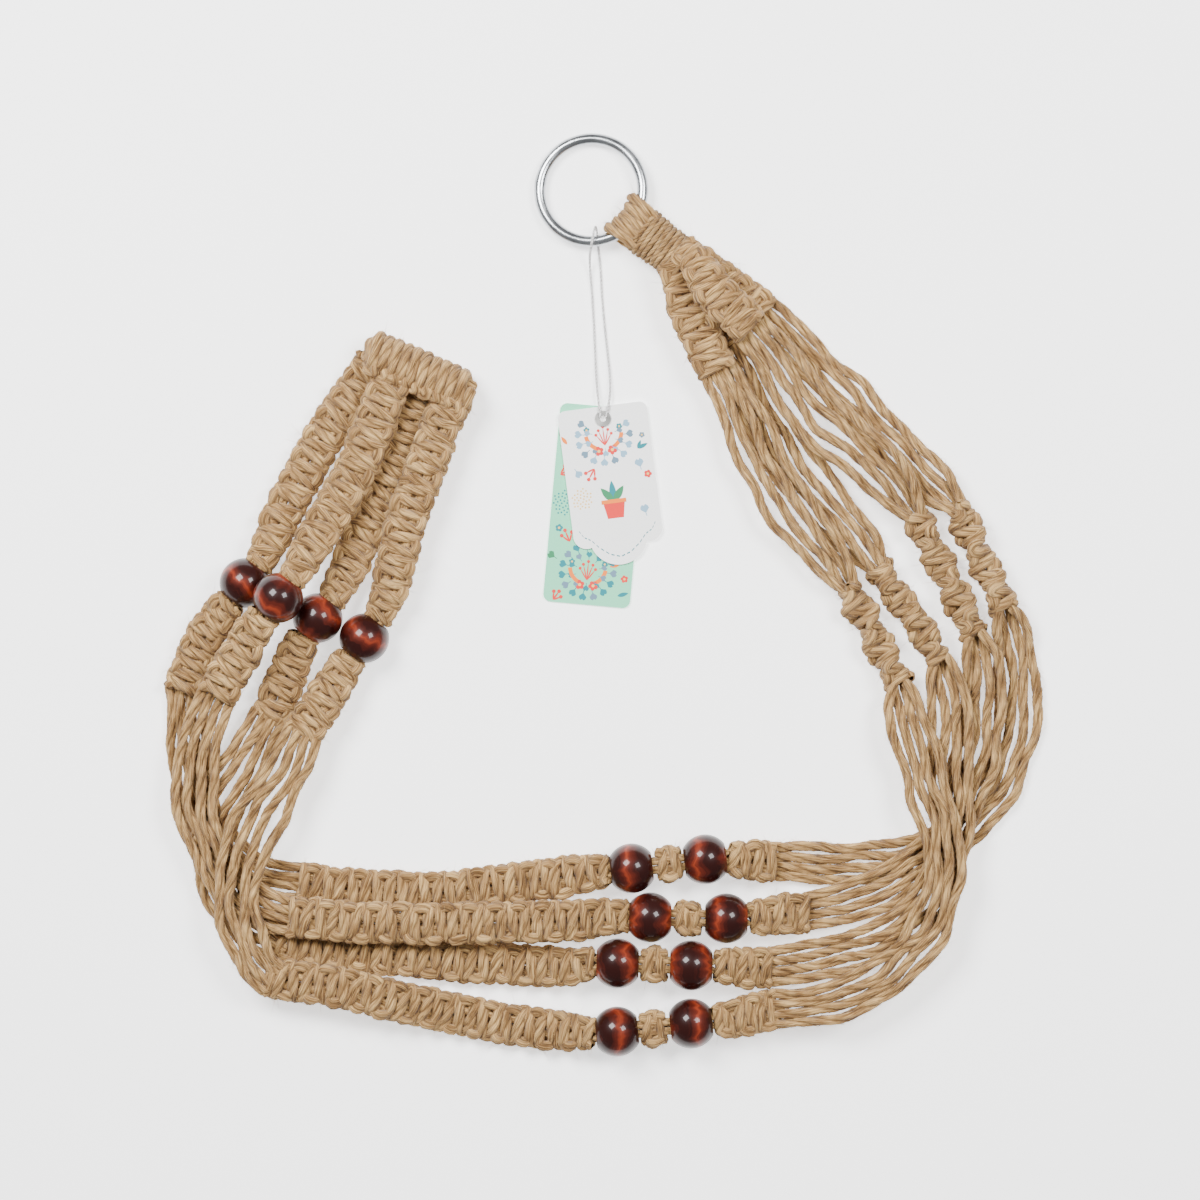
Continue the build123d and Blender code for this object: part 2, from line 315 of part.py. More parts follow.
BASKET_CORDS = {
    1: [
        [(-115.3, -109.6, 2.2), (-124.0, -109.0, 2.2), (-133.9, -106.7, 2.2), (-141.9, -102.7, 2.2),
         (-148.4, -96.5, 2.2), (-152.7, -87.9, 2.2), (-155.6, -77.5, 2.2), (-157.5, -67.1, 2.2),
         (-158.4, -56.7, 2.2), (-159.7, -45.5, 2.2), (-160.8, -37.0, 2.2)],
        [(-115.5, -113.6, 2.2), (-124.5, -113.1, 2.2), (-135.3, -110.8, 2.2), (-144.4, -106.2, 2.2),
         (-151.9, -99.1, 2.2), (-156.8, -89.6, 2.2), (-160.1, -78.6, 2.2), (-162.0, -67.7, 2.2),
         (-163.0, -57.0, 2.2), (-163.9, -45.8, 2.2), (-164.8, -36.6, 2.2)],
        [(-115.7, -117.6, 2.2), (-125.1, -117.3, 2.2), (-136.7, -114.8, 2.2), (-146.8, -109.8, 2.2),
         (-155.3, -101.7, 2.2), (-160.8, -91.2, 2.2), (-164.6, -79.7, 2.2), (-166.6, -68.3, 2.2),
         (-167.4, -57.4, 2.2), (-167.9, -46.2, 2.2), (-168.8, -36.2, 2.2)],
        [(-115.9, -121.6, 2.2), (-125.6, -121.4, 2.2), (-138.1, -118.9, 2.2), (-149.3, -113.3, 2.2),
         (-158.8, -104.3, 2.2), (-164.9, -92.9, 2.2), (-169.1, -80.9, 2.2), (-171.3, -68.9, 2.2),
         (-171.6, -57.7, 2.2), (-172.3, -46.5, 2.2), (-172.8, -35.8, 2.2)],
    ],
    2: [
        [(-118.5, -122.8, 11.0), (-126.4, -121.5, 11.0), (-134.3, -117.9, 11.0), (-141.1, -112.2, 11.0),
         (-147.3, -104.4, 11.0), (-151.6, -95.4, 11.0), (-154.1, -85.1, 11.0), (-155.1, -75.0, 11.0),
         (-154.3, -65.7, 11.0), (-152.4, -56.6, 11.0), (-149.4, -48.0, 11.0), (-146.6, -40.7, 11.3)],
        [(-118.7, -126.8, 11.0), (-127.5, -125.6, 11.0), (-136.5, -121.7, 11.0), (-144.3, -115.5, 11.0),
         (-151.3, -106.8, 11.0), (-155.9, -96.9, 11.0), (-158.6, -86.0, 11.0), (-159.8, -75.1, 11.0),
         (-159.3, -64.8, 11.0), (-156.7, -55.1, 11.0), (-153.3, -46.4, 11.0), (-150.2, -38.9, 11.3)],
        [(-118.9, -130.8, 11.0), (-128.5, -129.6, 11.0), (-138.7, -125.5, 11.0), (-147.6, -118.8, 11.0),
         (-155.1, -109.1, 11.0), (-160.1, -98.3, 11.0), (-163.2, -86.9, 11.0), (-164.9, -75.3, 11.0),
         (-164.1, -64.0, 11.0), (-160.9, -53.7, 11.0), (-157.1, -44.8, 11.0), (-153.8, -37.1, 11.3)],
        [(-119.1, -134.8, 11.0), (-129.6, -133.7, 11.0), (-140.9, -129.3, 11.0), (-150.9, -122.2, 11.0),
         (-159.1, -111.6, 11.0), (-164.4, -99.8, 11.0), (-167.7, -87.7, 11.0), (-169.4, -75.4, 11.0),
         (-168.9, -63.1, 11.0), (-165.2, -52.2, 11.0), (-161.0, -43.2, 11.0), (-157.4, -35.3, 11.3)],
    ],
    3: [
        [(-124.9, -133.6, 5.9), (-131.2, -131.8, 6.4), (-137.6, -127.5, 6.6), (-143.0, -120.2, 6.6),
         (-146.6, -111.2, 6.6), (-148.1, -101.8, 6.6), (-146.8, -92.4, 6.6), (-143.3, -83.5, 6.6),
         (-138.3, -74.8, 6.6), (-133.5, -65.7, 6.6), (-129.6, -57.3, 6.2), (-126.5, -49.6, 5.9)],
        [(-125.1, -137.6, 5.9), (-132.8, -135.7, 6.4), (-140.5, -130.8, 6.6), (-146.9, -122.5, 6.6),
         (-151.0, -112.6, 6.6), (-153.0, -101.9, 6.6), (-151.6, -91.3, 6.6), (-148.0, -81.5, 6.6),
         (-142.8, -72.2, 6.6), (-137.6, -63.2, 6.6), (-133.3, -55.4, 6.2), (-130.2, -48.0, 5.9)],
        [(-125.3, -141.6, 5.9), (-134.4, -139.5, 6.4), (-143.5, -134.0, 6.6), (-150.7, -124.7, 6.6),
         (-155.5, -113.9, 6.6), (-157.8, -102.1, 6.6), (-156.4, -90.3, 6.6), (-153.1, -79.2, 6.6),
         (-147.4, -69.5, 6.6), (-141.6, -60.8, 6.6), (-137.1, -53.4, 6.2), (-133.8, -46.4, 5.9)],
        [(-125.5, -145.6, 5.9), (-136.0, -143.4, 6.4), (-146.4, -137.3, 6.6), (-154.6, -127.0, 6.6),
         (-159.7, -115.1, 6.6), (-162.2, -102.2, 6.6), (-161.6, -89.1, 6.6), (-157.6, -77.2, 6.6),
         (-151.6, -67.0, 6.6), (-145.9, -58.2, 6.6), (-140.8, -51.5, 6.2), (-137.5, -44.8, 5.9)],
    ],
    4: [
        [(-125.6, -148.8, 14.2), (-130.9, -145.0, 15.0), (-134.3, -137.8, 15.4), (-136.9, -128.6, 15.4),
         (-137.5, -118.8, 15.4), (-135.5, -109.4, 15.4), (-132.1, -100.2, 15.4), (-126.9, -90.7, 15.4),
         (-121.7, -80.7, 15.4), (-117.2, -71.5, 15.4), (-114.4, -62.7, 15.0), (-112.5, -56.0, 14.2)],
        [(-128.0, -152.0, 14.2), (-134.0, -147.8, 15.0), (-138.4, -139.5, 15.4), (-141.4, -129.5, 15.4),
         (-142.2, -118.8, 15.4), (-140.6, -108.3, 15.4), (-137.5, -97.9, 15.4), (-131.7, -88.0, 15.4),
         (-126.4, -78.0, 15.4), (-121.3, -69.5, 15.4), (-118.4, -61.2, 15.0), (-116.2, -54.4, 14.2)],
        [(-130.4, -155.2, 14.2), (-137.2, -150.6, 15.0), (-142.4, -141.3, 15.4), (-146.0, -130.5, 15.4),
         (-147.6, -118.8, 15.4), (-146.2, -107.0, 15.4), (-142.9, -95.6, 15.4), (-136.5, -85.2, 15.4),
         (-130.9, -75.3, 15.4), (-125.7, -67.4, 15.4), (-122.4, -59.6, 15.0), (-119.8, -52.8, 14.2)],
        [(-132.8, -158.4, 14.2), (-140.3, -153.4, 15.0), (-146.5, -143.0, 15.4), (-150.5, -131.4, 15.4),
         (-152.3, -118.8, 15.4), (-151.2, -105.9, 15.4), (-148.0, -93.4, 15.4), (-141.4, -82.3, 15.4),
         (-135.2, -72.8, 15.4), (-130.0, -65.3, 15.4), (-126.4, -58.1, 15.0), (-123.5, -51.2, 14.2)],
    ],
}
TAG_STRING = [(0.3, 70.9, 2.9), (-0.8, 78.4, 2.9), (-1.6, 89.0, 1.2), (-2.2, 104.0, 0.7),
              (-3.0, 119.0, 0.7), (-4.0, 130.2, 1.6), (-4.2, 136.2, 5.2), (-3.4, 140.0, 10.3),
              (-2.6, 144.4, 11.3), (-1.9, 147.8, 7.8), (-1.4, 146.6, 2.9), (-0.8, 141.0, 1.2),
              (0.2, 132.0, 0.8), (0.9, 118.0, 0.7), (2.5, 102.0, 0.7), (4.2, 87.0, 1.2),
              (4.0, 77.6, 2.9), (2.1, 70.9, 2.9)]


# ---------------------------------------------------------------- building helpers
def band_planes(stations, start_heading=None, end_heading=None):
    """Section planes across a knotted band: the width stays level and the face is square to the line."""
    places = [Vector(*station[:3]) for station in stations]
    headings = [(after - before).normalized() for before, after in zip(places, places[1:])]
    turning = [(into + out).normalized() for into, out in zip(headings, headings[1:])]
    first = start_heading or headings[0]
    last = end_heading or headings[-1]
    planes = []
    for place, heading in zip(places, [first, *turning, last]):
        across = Vector(0, 0, 1).cross(heading)
        planes.append(Plane(origin=place, x_dir=across, z_dir=heading))
    return planes


def band_sizes(stations):
    """The width and thickness of a knotted band at each of its places."""
    return [station[3:] or (knot_width, knot_thickness) for station in stations]


def carried_on(station, heading, amount):
    """A band's end place moved outward, so that the cords it meets are held inside it."""
    place = Vector(*station[:3]) + heading.normalized() * amount
    return (place.X, place.Y, place.Z, *station[3:])


def bend_radii(points):
    """The radius at each inner point of a limp cord: as large as the two runs there leave room for."""
    radii = []
    for before, place, after in zip(points, points[1:], points[2:]):
        run_in = Vector(*place) - Vector(*before)
        run_out = Vector(*after) - Vector(*place)
        half_turn = radians(run_in.get_angle(run_out)) / 2
        radii.append(0.45 * min(run_in.length, run_out.length) / tan(half_turn))
    return radii


os.makedirs("parts", exist_ok=True)

# ---------------------------------------------------------------- ring and the cord folds that hold it
ring_across = neck_out * cos(ring_tilt) + Vector(0, 0, sin(ring_tilt))
ring_normal = Vector(0, 0, cos(ring_tilt)) - neck_out * sin(ring_tilt)
ring_middle = neck_point - ring_across * ring_radius
ring_plane = Plane(origin=ring_middle, x_dir=ring_across, z_dir=ring_normal)

with BuildPart(ring_plane) as ring:
    Torus(ring_radius, ring_wire / 2)
ring.part.label = "ring"
export_step(ring.part, "parts/ring.step")

loop_arc = loop_pitch_angle - loop_gap_angle
with BuildPart() as ring_loops:
    for number in range(loop_count):
        turn = (number - (loop_count - 1) / 2) * loop_pitch_angle - loop_arc / 2
        outward = ring_across.rotate(Axis((0, 0, 0), ring_normal), turn)
        with BuildSketch(Plane(origin=ring_middle, x_dir=outward, z_dir=outward.cross(ring_normal))):
            with Locations((ring_radius, 0)):
                Circle(loop_outer)
                Circle(loop_inner, mode=Mode.SUBTRACT)
        revolve(axis=Axis(ring_middle, ring_normal), revolution_arc=loop_arc)
ring_loops.part.label = "ring_loops"
export_step(ring_loops.part, "parts/ring_loops.step")

# The wrap is flat and wide where the folds leave the ring and round where the sinnets begin.
wrap_end_height = wrap_diameter / 2 + wrap_lift
neck_across = Vector(0, 0, 1).cross(neck_out)
wrap_sections = [
    (wrap_start, 20.0, 12.6, neck_height + 0.3),
    ((wrap_start + wrap_end) / 2, 18.8, 15.4, 8.2),
    (wrap_end, wrap_diameter, wrap_diameter, wrap_end_height),
]
with BuildPart() as neck_wrap:
    for distance, width, height, middle in wrap_sections:
        place = neck_point + neck_out * distance
        with BuildSketch(Plane(origin=(place.X, place.Y, middle), x_dir=neck_across, z_dir=neck_out)):
            RectangleRounded(width, height, knot_corner * 2)
    loft(ruled=True)
neck_wrap.part.label = "neck_wrap"
export_step(neck_wrap.part, "parts/neck_wrap.step")

# ---------------------------------------------------------------- neck sinnets and spirals
wrap_face = neck_point + neck_out * wrap_end
bundle_step = (bundle + bundle_gap) / 2
for leg, stations in neck_sinnets.items():
    across_side, up_side = neck_quarters[leg]
    quarter = wrap_face + neck_across * (across_side * bundle_step)
    start = (quarter.X, quarter.Y, wrap_end_height + up_side * bundle_step, bundle, bundle)
    end_heading = Vector(*neck_sinnet_ends[leg], 0)
    places = [start, *stations[:-1], carried_on(stations[-1], end_heading, cord_tuck)]
    with BuildPart() as neck_sinnet:
        for plane, size in zip(band_planes(places, neck_out, end_heading), band_sizes(places)):
            with BuildSketch(plane):
                RectangleRounded(*size, knot_corner)
        loft(ruled=True)
    neck_sinnet.part.label = f"neck_sinnet_{leg}"
    export_step(neck_sinnet.part, f"parts/neck_sinnet_{leg}.step")

for leg, (start, end) in spirals.items():
    heading = (spot(end, 0) - spot(start, 0)).normalized()
    spiral_length = (spot(end, 0) - spot(start, 0)).length + 2 * cord_tuck
    with BuildPart() as spiral:
        with BuildSketch(Plane(origin=spot(start, spiral_height) - heading * cord_tuck, z_dir=heading)):
            Circle(spiral_diameter / 2)
        extrude(amount=spiral_length)
        fillet(spiral.edges().filter_by(GeomType.CIRCLE), radius=1.2)
    spiral.part.label = f"spiral_{leg}"
    export_step(spiral.part, f"parts/spiral_{leg}.step")

# ---------------------------------------------------------------- the beaded band
for leg, (left, right) in band_beads.items():
    axis = band_axes[leg]
    across = Vector(0, 0, 1).cross(axis)
    for side, centre in (("left", left), ("right", right)):
        with BuildPart(Plane(origin=centre, z_dir=axis)) as band_bead:
            Sphere(bead_radius)
            Cylinder(bead_hole / 2, bead_diameter * 2, mode=Mode.SUBTRACT)
            fillet(band_bead.edges().filter_by(lambda edge: edge.is_closed), radius=bead_edge)
        band_bead.part.label = f"{side}_bead_{leg}"
        export_step(band_bead.part, f"parts/{side}_bead_{leg}.step")

    # The knot between the beads, with its filler cords running on through both of them.
    core_start = bead_side(left, axis, -1)
    core_end = bead_side(right, axis, 1)
    knot_start = bead_side(left, axis, 1)
    knot_end = bead_side(right, axis, -1)
    with BuildPart() as mid_knot:
        with BuildSketch(Plane(origin=core_start, z_dir=axis)):
            Circle(core_radius)
        extrude(amount=(core_end - core_start).length)
        with BuildSketch(Plane(origin=knot_start, x_dir=across, z_dir=axis)):
            RectangleRounded(knot_width, knot_thickness, knot_corner)
        extrude(amount=(knot_end - knot_start).length)
    mid_knot.part.label = f"mid_knot_{leg}"
    export_step(mid_knot.part, f"parts/mid_knot_{leg}.step")

    end_heading = Vector(1, 0, 0)
    last = carried_on(lead_sinnets[leg][-1], end_heading, cord_tuck)
    places = [tuple(core_end), *lead_sinnets[leg][:-1], last]
    with BuildPart() as lead_sinnet:
        for plane, size in zip(band_planes(places, axis, end_heading), band_sizes(places)):
            with BuildSketch(plane):
                RectangleRounded(*size, knot_corner)
        loft(ruled=True)
    lead_sinnet.part.label = f"lead_sinnet_{leg}"
    export_step(lead_sinnet.part, f"parts/lead_sinnet_{leg}.step")

    end_heading = Vector(*long_sinnet_ends[leg], 0)
    last = carried_on(long_sinnets[leg][-1], end_heading, cord_tuck)
    places = [tuple(core_start), *long_sinnets[leg][:-1], last]
    with BuildPart() as long_sinnet:
        for plane, size in zip(band_planes(places, -axis, end_heading), band_sizes(places)):
            with BuildSketch(plane):
                RectangleRounded(*size, knot_corner)
        loft(ruled=True)
    long_sinnet.part.label = f"long_sinnet_{leg}"
    export_step(long_sinnet.part, f"parts/long_sinnet_{leg}.step")

# ---------------------------------------------------------------- the basket
for leg, centre in basket_beads.items():
    with BuildPart(Plane(origin=centre, z_dir=basket_hole_axis)) as basket_bead:
        Sphere(bead_radius)
        Cylinder(bead_hole / 2, bead_diameter * 2, mode=Mode.SUBTRACT)
        fillet(basket_bead.edges().filter_by(lambda edge: edge.is_closed), radius=bead_edge)
    basket_bead.part.label = f"basket_bead_{leg}"
    export_step(basket_bead.part, f"parts/basket_bead_{leg}.step")

    lower_face = bead_side(centre, basket_hole_axis, -1)
    upper_face = bead_side(centre, basket_hole_axis, 1)
    start_heading = Vector(*short_sinnet_starts[leg], 0)
    first = carried_on(short_sinnets[leg][0], -start_heading, cord_tuck)
    places = [first, *short_sinnets[leg][1:], tuple(lower_face)]
    with BuildPart() as short_sinnet:
        for plane, size in zip(band_planes(places, start_heading, basket_hole_axis), band_sizes(places)):
            with BuildSketch(plane):
                RectangleRounded(*size, knot_corner)
        loft(ruled=True)
    short_sinnet.part.label = f"short_sinnet_{leg}"
    export_step(short_sinnet.part, f"parts/short_sinnet_{leg}.step")

    # The basket sinnet, with its filler cords running back down through the bead.
    end_heading = Vector(*basket_sinnets[leg][-1]) - Vector(*basket_sinnets[leg][-2])
    last = carried_on(basket_sinnets[leg][-1], end_heading, base_knot_tuck)
    places = [tuple(upper_face), *basket_sinnets[leg][:-1], last]
    with BuildPart() as basket_sinnet:
        for plane, size in zip(band_planes(places, basket_hole_axis), band_sizes(places)):
            with BuildSketch(plane):
                RectangleRounded(*size, knot_corner)
        loft(ruled=True)
        with BuildSketch(Plane(origin=lower_face, z_dir=basket_hole_axis)):
            Circle(core_radius)
        extrude(amount=2 * bead_face + cord_tuck)
    basket_sinnet.part.label = f"basket_sinnet_{leg}"
    export_step(basket_sinnet.part, f"parts/basket_sinnet_{leg}.step")

base_start = spot(base_knot_line[0], base_knot_diameter / 2 + cord_gap)
base_end = spot(base_knot_line[1], base_knot_diameter / 2 + cord_gap)
base_heading = (base_end - base_start).normalized()
base_across = base_heading.cross(Vector(0, 0, 1))
with BuildPart() as base_knot:
    with BuildSketch(Plane(origin=base_start, x_dir=base_across, z_dir=base_heading)):
        RectangleRounded(base_knot_diameter, base_knot_diameter, base_knot_diameter / 3)
    extrude(amount=(base_end - base_start).length)
base_knot.part.label = "base_knot"
export_step(base_knot.part, "parts/base_knot.step")

# ---------------------------------------------------------------- loose cords
for section, table in (("neck", NECK_CORDS), ("waist", WAIST_CORDS), ("basket", BASKET_CORDS)):
    for leg, routes in table.items():
        cord_length = 0
        with BuildPart() as loose_cords:
            for points in routes:
                radii = bend_radii(points)
                with BuildLine() as route:
                    FilletPolyline(*points, radius=radii)
                with BuildSketch(Plane(origin=route.line @ 0, z_dir=route.line % 0)):
                    Circle(cord_diameter / 2)
                sweep()
                cord_length += sum(edge.length for edge in route.edges())
                print(f"{section}_cords_{leg} bend radii:", *[round(radius, 1) for radius in radii])
        loose_cords.part.label = f"{section}_cords_{leg}"
        export_step(loose_cords.part, f"parts/{section}_cords_{leg}.step")
        swept_volume = cord_length * pi * (cord_diameter / 2) ** 2
        print("  volume over section times length:", round(loose_cords.part.volume / swept_volume, 4))

# ---------------------------------------------------------------- hang tag on its string
tag_string_radii = bend_radii(TAG_STRING)
with BuildPart() as tag_string:
    with BuildLine() as tag_route:
        FilletPolyline(*TAG_STRING, radius=tag_string_radii)
    with BuildSketch(Plane(origin=tag_route.line @ 0, z_dir=tag_route.line % 0)):
        Circle(string_diameter / 2)
    sweep()
tag_string.part.label = "tag_string"
export_step(tag_string.part, "parts/tag_string.step")
print("tag_string bend radii:", *[round(radius, 1) for radius in tag_string_radii])

upright = (Align.CENTER, Align.CENTER, Align.MIN)
with BuildPart(Plane(origin=spot(card_hole, 0))) as tag_eyelet:
    Cylinder(eyelet_flange / 2, eyelet_flange_thickness, align=upright)
    Cylinder(eyelet_diameter / 2, eyelet_top, align=upright)
    with Locations((0, 0, eyelet_top)):
        Cylinder(eyelet_flange / 2, eyelet_flange_thickness, align=upright)
    Cylinder(eyelet_bore / 2, eyelet_top * 4, mode=Mode.SUBTRACT)
tag_eyelet.part.label = "tag_eyelet"
export_step(tag_eyelet.part, "parts/tag_eyelet.step")

back_width, back_height = back_card_size
back_plane = Plane(origin=spot(card_hole, back_card_bottom)).rotated((0, 0, back_card_lean))
with BuildPart() as tag_card_back:
    with BuildSketch(back_plane):
        with Locations((0, card_hole_margin - back_height / 2)):
            RectangleRounded(back_width, back_height, card_corner)
        Circle(card_hole_diameter / 2, mode=Mode.SUBTRACT)
    extrude(amount=card_thickness)
tag_card_back.part.label = "tag_card_back"
export_step(tag_card_back.part, "parts/tag_card_back.step")

# The front card's lower edge is scalloped: a deep lobe in the middle and a shallow one on each side.
half_width = front_card_size[0] / 2
shoulder = card_hole_margin - front_card_size[1]
scallop = (half_width * 0.62, shoulder - front_card_lobe * 0.42)
side_bulge = (half_width * 0.9, shoulder - front_card_lobe * 0.34)
with BuildPart() as tag_card_front:
    with BuildSketch(Plane(origin=spot(card_hole, front_card_bottom)).rotated((0, 0, front_card_lean))):
        with BuildLine():
            top = Line((-half_width + card_corner, card_hole_margin), (half_width - card_corner, card_hole_margin))
            right_edge = Line((half_width, card_hole_margin - card_corner), (half_width, shoulder))
            left_edge = Line((-half_width, shoulder), (-half_width, card_hole_margin - card_corner))
            RadiusArc(top @ 1, right_edge @ 0, card_corner)
            RadiusArc(left_edge @ 1, top @ 0, card_corner)
            ThreePointArc(right_edge @ 1, side_bulge, scallop)
            ThreePointArc(scallop, (0, shoulder - front_card_lobe), (-scallop[0], scallop[1]))
            ThreePointArc((-scallop[0], scallop[1]), (-side_bulge[0], side_bulge[1]), left_edge @ 0)
        make_face()
        Circle(card_hole_diameter / 2, mode=Mode.SUBTRACT)
    extrude(amount=card_thickness)
tag_card_front.part.label = "tag_card_front"
export_step(tag_card_front.part, "parts/tag_card_front.step")
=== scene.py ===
"""Hanging macrame planter of jute cord with dark wooden beads, a steel ring and a card tag.

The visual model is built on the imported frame, in metres. Loose cords are twisted ropes that follow smooth
routes, sinnets are square knots tied over filler cords, and the beads, ring and cards are shaped and dressed.
"""

from __future__ import annotations

import json
import logging
import math
from dataclasses import dataclass, field
from enum import Enum

import bpy
import numpy as np
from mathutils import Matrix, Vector

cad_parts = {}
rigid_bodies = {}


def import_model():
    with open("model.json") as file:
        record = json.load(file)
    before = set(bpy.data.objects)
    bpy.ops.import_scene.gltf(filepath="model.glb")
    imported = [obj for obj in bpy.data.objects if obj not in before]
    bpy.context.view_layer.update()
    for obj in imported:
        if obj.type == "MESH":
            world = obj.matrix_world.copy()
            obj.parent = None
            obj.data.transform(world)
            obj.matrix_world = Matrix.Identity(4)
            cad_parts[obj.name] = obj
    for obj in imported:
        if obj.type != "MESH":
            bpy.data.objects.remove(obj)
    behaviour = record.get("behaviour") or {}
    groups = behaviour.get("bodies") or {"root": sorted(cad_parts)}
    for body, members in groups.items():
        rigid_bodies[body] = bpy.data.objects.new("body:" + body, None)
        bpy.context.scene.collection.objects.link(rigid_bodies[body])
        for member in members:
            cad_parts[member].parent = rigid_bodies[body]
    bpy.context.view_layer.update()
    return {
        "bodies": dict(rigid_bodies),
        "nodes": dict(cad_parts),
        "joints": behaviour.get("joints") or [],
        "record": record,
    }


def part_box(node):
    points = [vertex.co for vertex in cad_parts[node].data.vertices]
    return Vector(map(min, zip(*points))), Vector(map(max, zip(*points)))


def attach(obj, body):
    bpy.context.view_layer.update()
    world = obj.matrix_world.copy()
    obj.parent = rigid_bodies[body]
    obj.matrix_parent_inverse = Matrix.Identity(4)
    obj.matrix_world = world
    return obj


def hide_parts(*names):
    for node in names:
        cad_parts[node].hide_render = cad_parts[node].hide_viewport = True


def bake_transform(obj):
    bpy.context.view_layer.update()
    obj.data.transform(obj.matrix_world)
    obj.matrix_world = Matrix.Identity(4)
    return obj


LOG = logging.getLogger("planter")
Point = tuple[float, float, float]

# Middle lines of the knotted sinnets, from the end nearer the ring or the beads' band outward.
SINNET_LINES: dict[str, list[Point]] = {
    "neck_sinnet_1":
        [(0.0330, 0.1382, 0.0061), (0.0399, 0.1340, 0.0050), (0.0454, 0.1280, 0.0040),
         (0.0548, 0.1212, 0.0040), (0.0657, 0.1130, 0.0040)],
    "lead_sinnet_1":
        [(0.0512, -0.1045, 0.0100), (0.0592, -0.1064, 0.0080), (0.0692, -0.1068, 0.0062)],
    "long_sinnet_1":
        [(0.0034, -0.1103, 0.0100), (-0.0016, -0.1108, 0.0075), (-0.0148, -0.1132, 0.0040),
         (-0.0392, -0.1160, 0.0040), (-0.0632, -0.1192, 0.0040), (-0.0876, -0.1188, 0.0040),
         (-0.1068, -0.1172, 0.0040), (-0.1172, -0.1155, 0.0040)],
    "short_sinnet_1":
        [(-0.1670, -0.0380, 0.0040), (-0.1608, -0.0212, 0.0040), (-0.1536, -0.0096, 0.0070),
         (-0.1476, -0.0026, 0.0100)],
    "basket_sinnet_1":
        [(-0.1364, 0.0122, 0.0100), (-0.1316, 0.0208, 0.0075), (-0.1260, 0.0356, 0.0040),
         (-0.1172, 0.0520, 0.0040), (-0.1080, 0.0680, 0.0040), (-0.0992, 0.0804, 0.0040),
         (-0.0910, 0.0930, 0.0040)],
    "neck_sinnet_2":
        [(0.0330, 0.1382, 0.0139), (0.0384, 0.1321, 0.0184), (0.0408, 0.1270, 0.0206),
         (0.0488, 0.1164, 0.0206), (0.0596, 0.1061, 0.0206)],
    "lead_sinnet_2":
        [(0.0597, -0.1293, 0.0100), (0.0696, -0.1276, 0.0090), (0.0824, -0.1272, 0.0080)],
    "long_sinnet_2":
        [(0.0107, -0.1287, 0.0100), (0.0048, -0.1287, 0.0110), (-0.0100, -0.1296, 0.0123),
         (-0.0392, -0.1308, 0.0123), (-0.0680, -0.1312, 0.0123), (-0.0972, -0.1308, 0.0123),
         (-0.1100, -0.1296, 0.0123), (-0.1204, -0.1287, 0.0123)],
    "short_sinnet_2":
        [(-0.1527, -0.0394, 0.0123), (-0.1448, -0.0264, 0.0150), (-0.1384, -0.0156, 0.0195),
         (-0.1332, -0.0086, 0.0230)],
    "basket_sinnet_2":
        [(-0.1220, 0.0062, 0.0230), (-0.1168, 0.0152, 0.0200), (-0.1100, 0.0280, 0.0156),
         (-0.1024, 0.0412, 0.0132), (-0.0952, 0.0548, 0.0123), (-0.0896, 0.0688, 0.0123),
         (-0.0826, 0.0873, 0.0123)],
    "neck_sinnet_3":
        [(0.0282, 0.1321, 0.0061), (0.0324, 0.1252, 0.0050), (0.0352, 0.1144, 0.0040),
         (0.0424, 0.1072, 0.0040), (0.0518, 0.0991, 0.0040)],
    "lead_sinnet_3":
        [(0.0457, -0.1483, 0.0100), (0.0540, -0.1486, 0.0100), (0.0676, -0.1488, 0.0100)],
    "long_sinnet_3":
        [(-0.0023, -0.1469, 0.0100), (-0.0080, -0.1482, 0.0075), (-0.0244, -0.1488, 0.0040),
         (-0.0488, -0.1472, 0.0040), (-0.0732, -0.1452, 0.0040), (-0.0972, -0.1432, 0.0040),
         (-0.1160, -0.1408, 0.0040), (-0.1268, -0.1395, 0.0040)],
    "short_sinnet_3":
        [(-0.1326, -0.0487, 0.0040), (-0.1272, -0.0368, 0.0040), (-0.1220, -0.0252, 0.0070),
         (-0.1184, -0.0166, 0.0100)],
    "basket_sinnet_3":
        [(-0.1072, -0.0018, 0.0100), (-0.1026, 0.0064, 0.0075), (-0.0968, 0.0200, 0.0040),
         (-0.0888, 0.0368, 0.0040), (-0.0816, 0.0520, 0.0040), (-0.0768, 0.0660, 0.0040),
         (-0.0718, 0.0818, 0.0040)],
    "neck_sinnet_4":
        [(0.0282, 0.1321, 0.0139), (0.0316, 0.1242, 0.0130), (0.0343, 0.1150, 0.0123),
         (0.0396, 0.1044, 0.0123), (0.0467, 0.0898, 0.0123)],
    "lead_sinnet_4":
        [(0.0456, -0.1702, 0.0100), (0.0552, -0.1684, 0.0100), (0.0700, -0.1652, 0.0100)],
    "long_sinnet_4":
        [(-0.0024, -0.1754, 0.0100), (-0.0086, -0.1746, 0.0075), (-0.0200, -0.1740, 0.0040),
         (-0.0392, -0.1716, 0.0040), (-0.0620, -0.1670, 0.0040), (-0.0860, -0.1608, 0.0123),
         (-0.1040, -0.1564, 0.0123), (-0.1200, -0.1544, 0.0123), (-0.1305, -0.1526, 0.0123)],
    "short_sinnet_4":
        [(-0.1186, -0.0551, 0.0123), (-0.1112, -0.0436, 0.0123), (-0.1040, -0.0324, 0.0110),
         (-0.0997, -0.0247, 0.0100)],
    "basket_sinnet_4":
        [(-0.0886, -0.0098, 0.0100), (-0.0848, -0.0012, 0.0110), (-0.0812, 0.0140, 0.0123),
         (-0.0768, 0.0320, 0.0123), (-0.0712, 0.0468, 0.0123), (-0.0664, 0.0600, 0.0123),
         (-0.0598, 0.0782, 0.0123)],
}
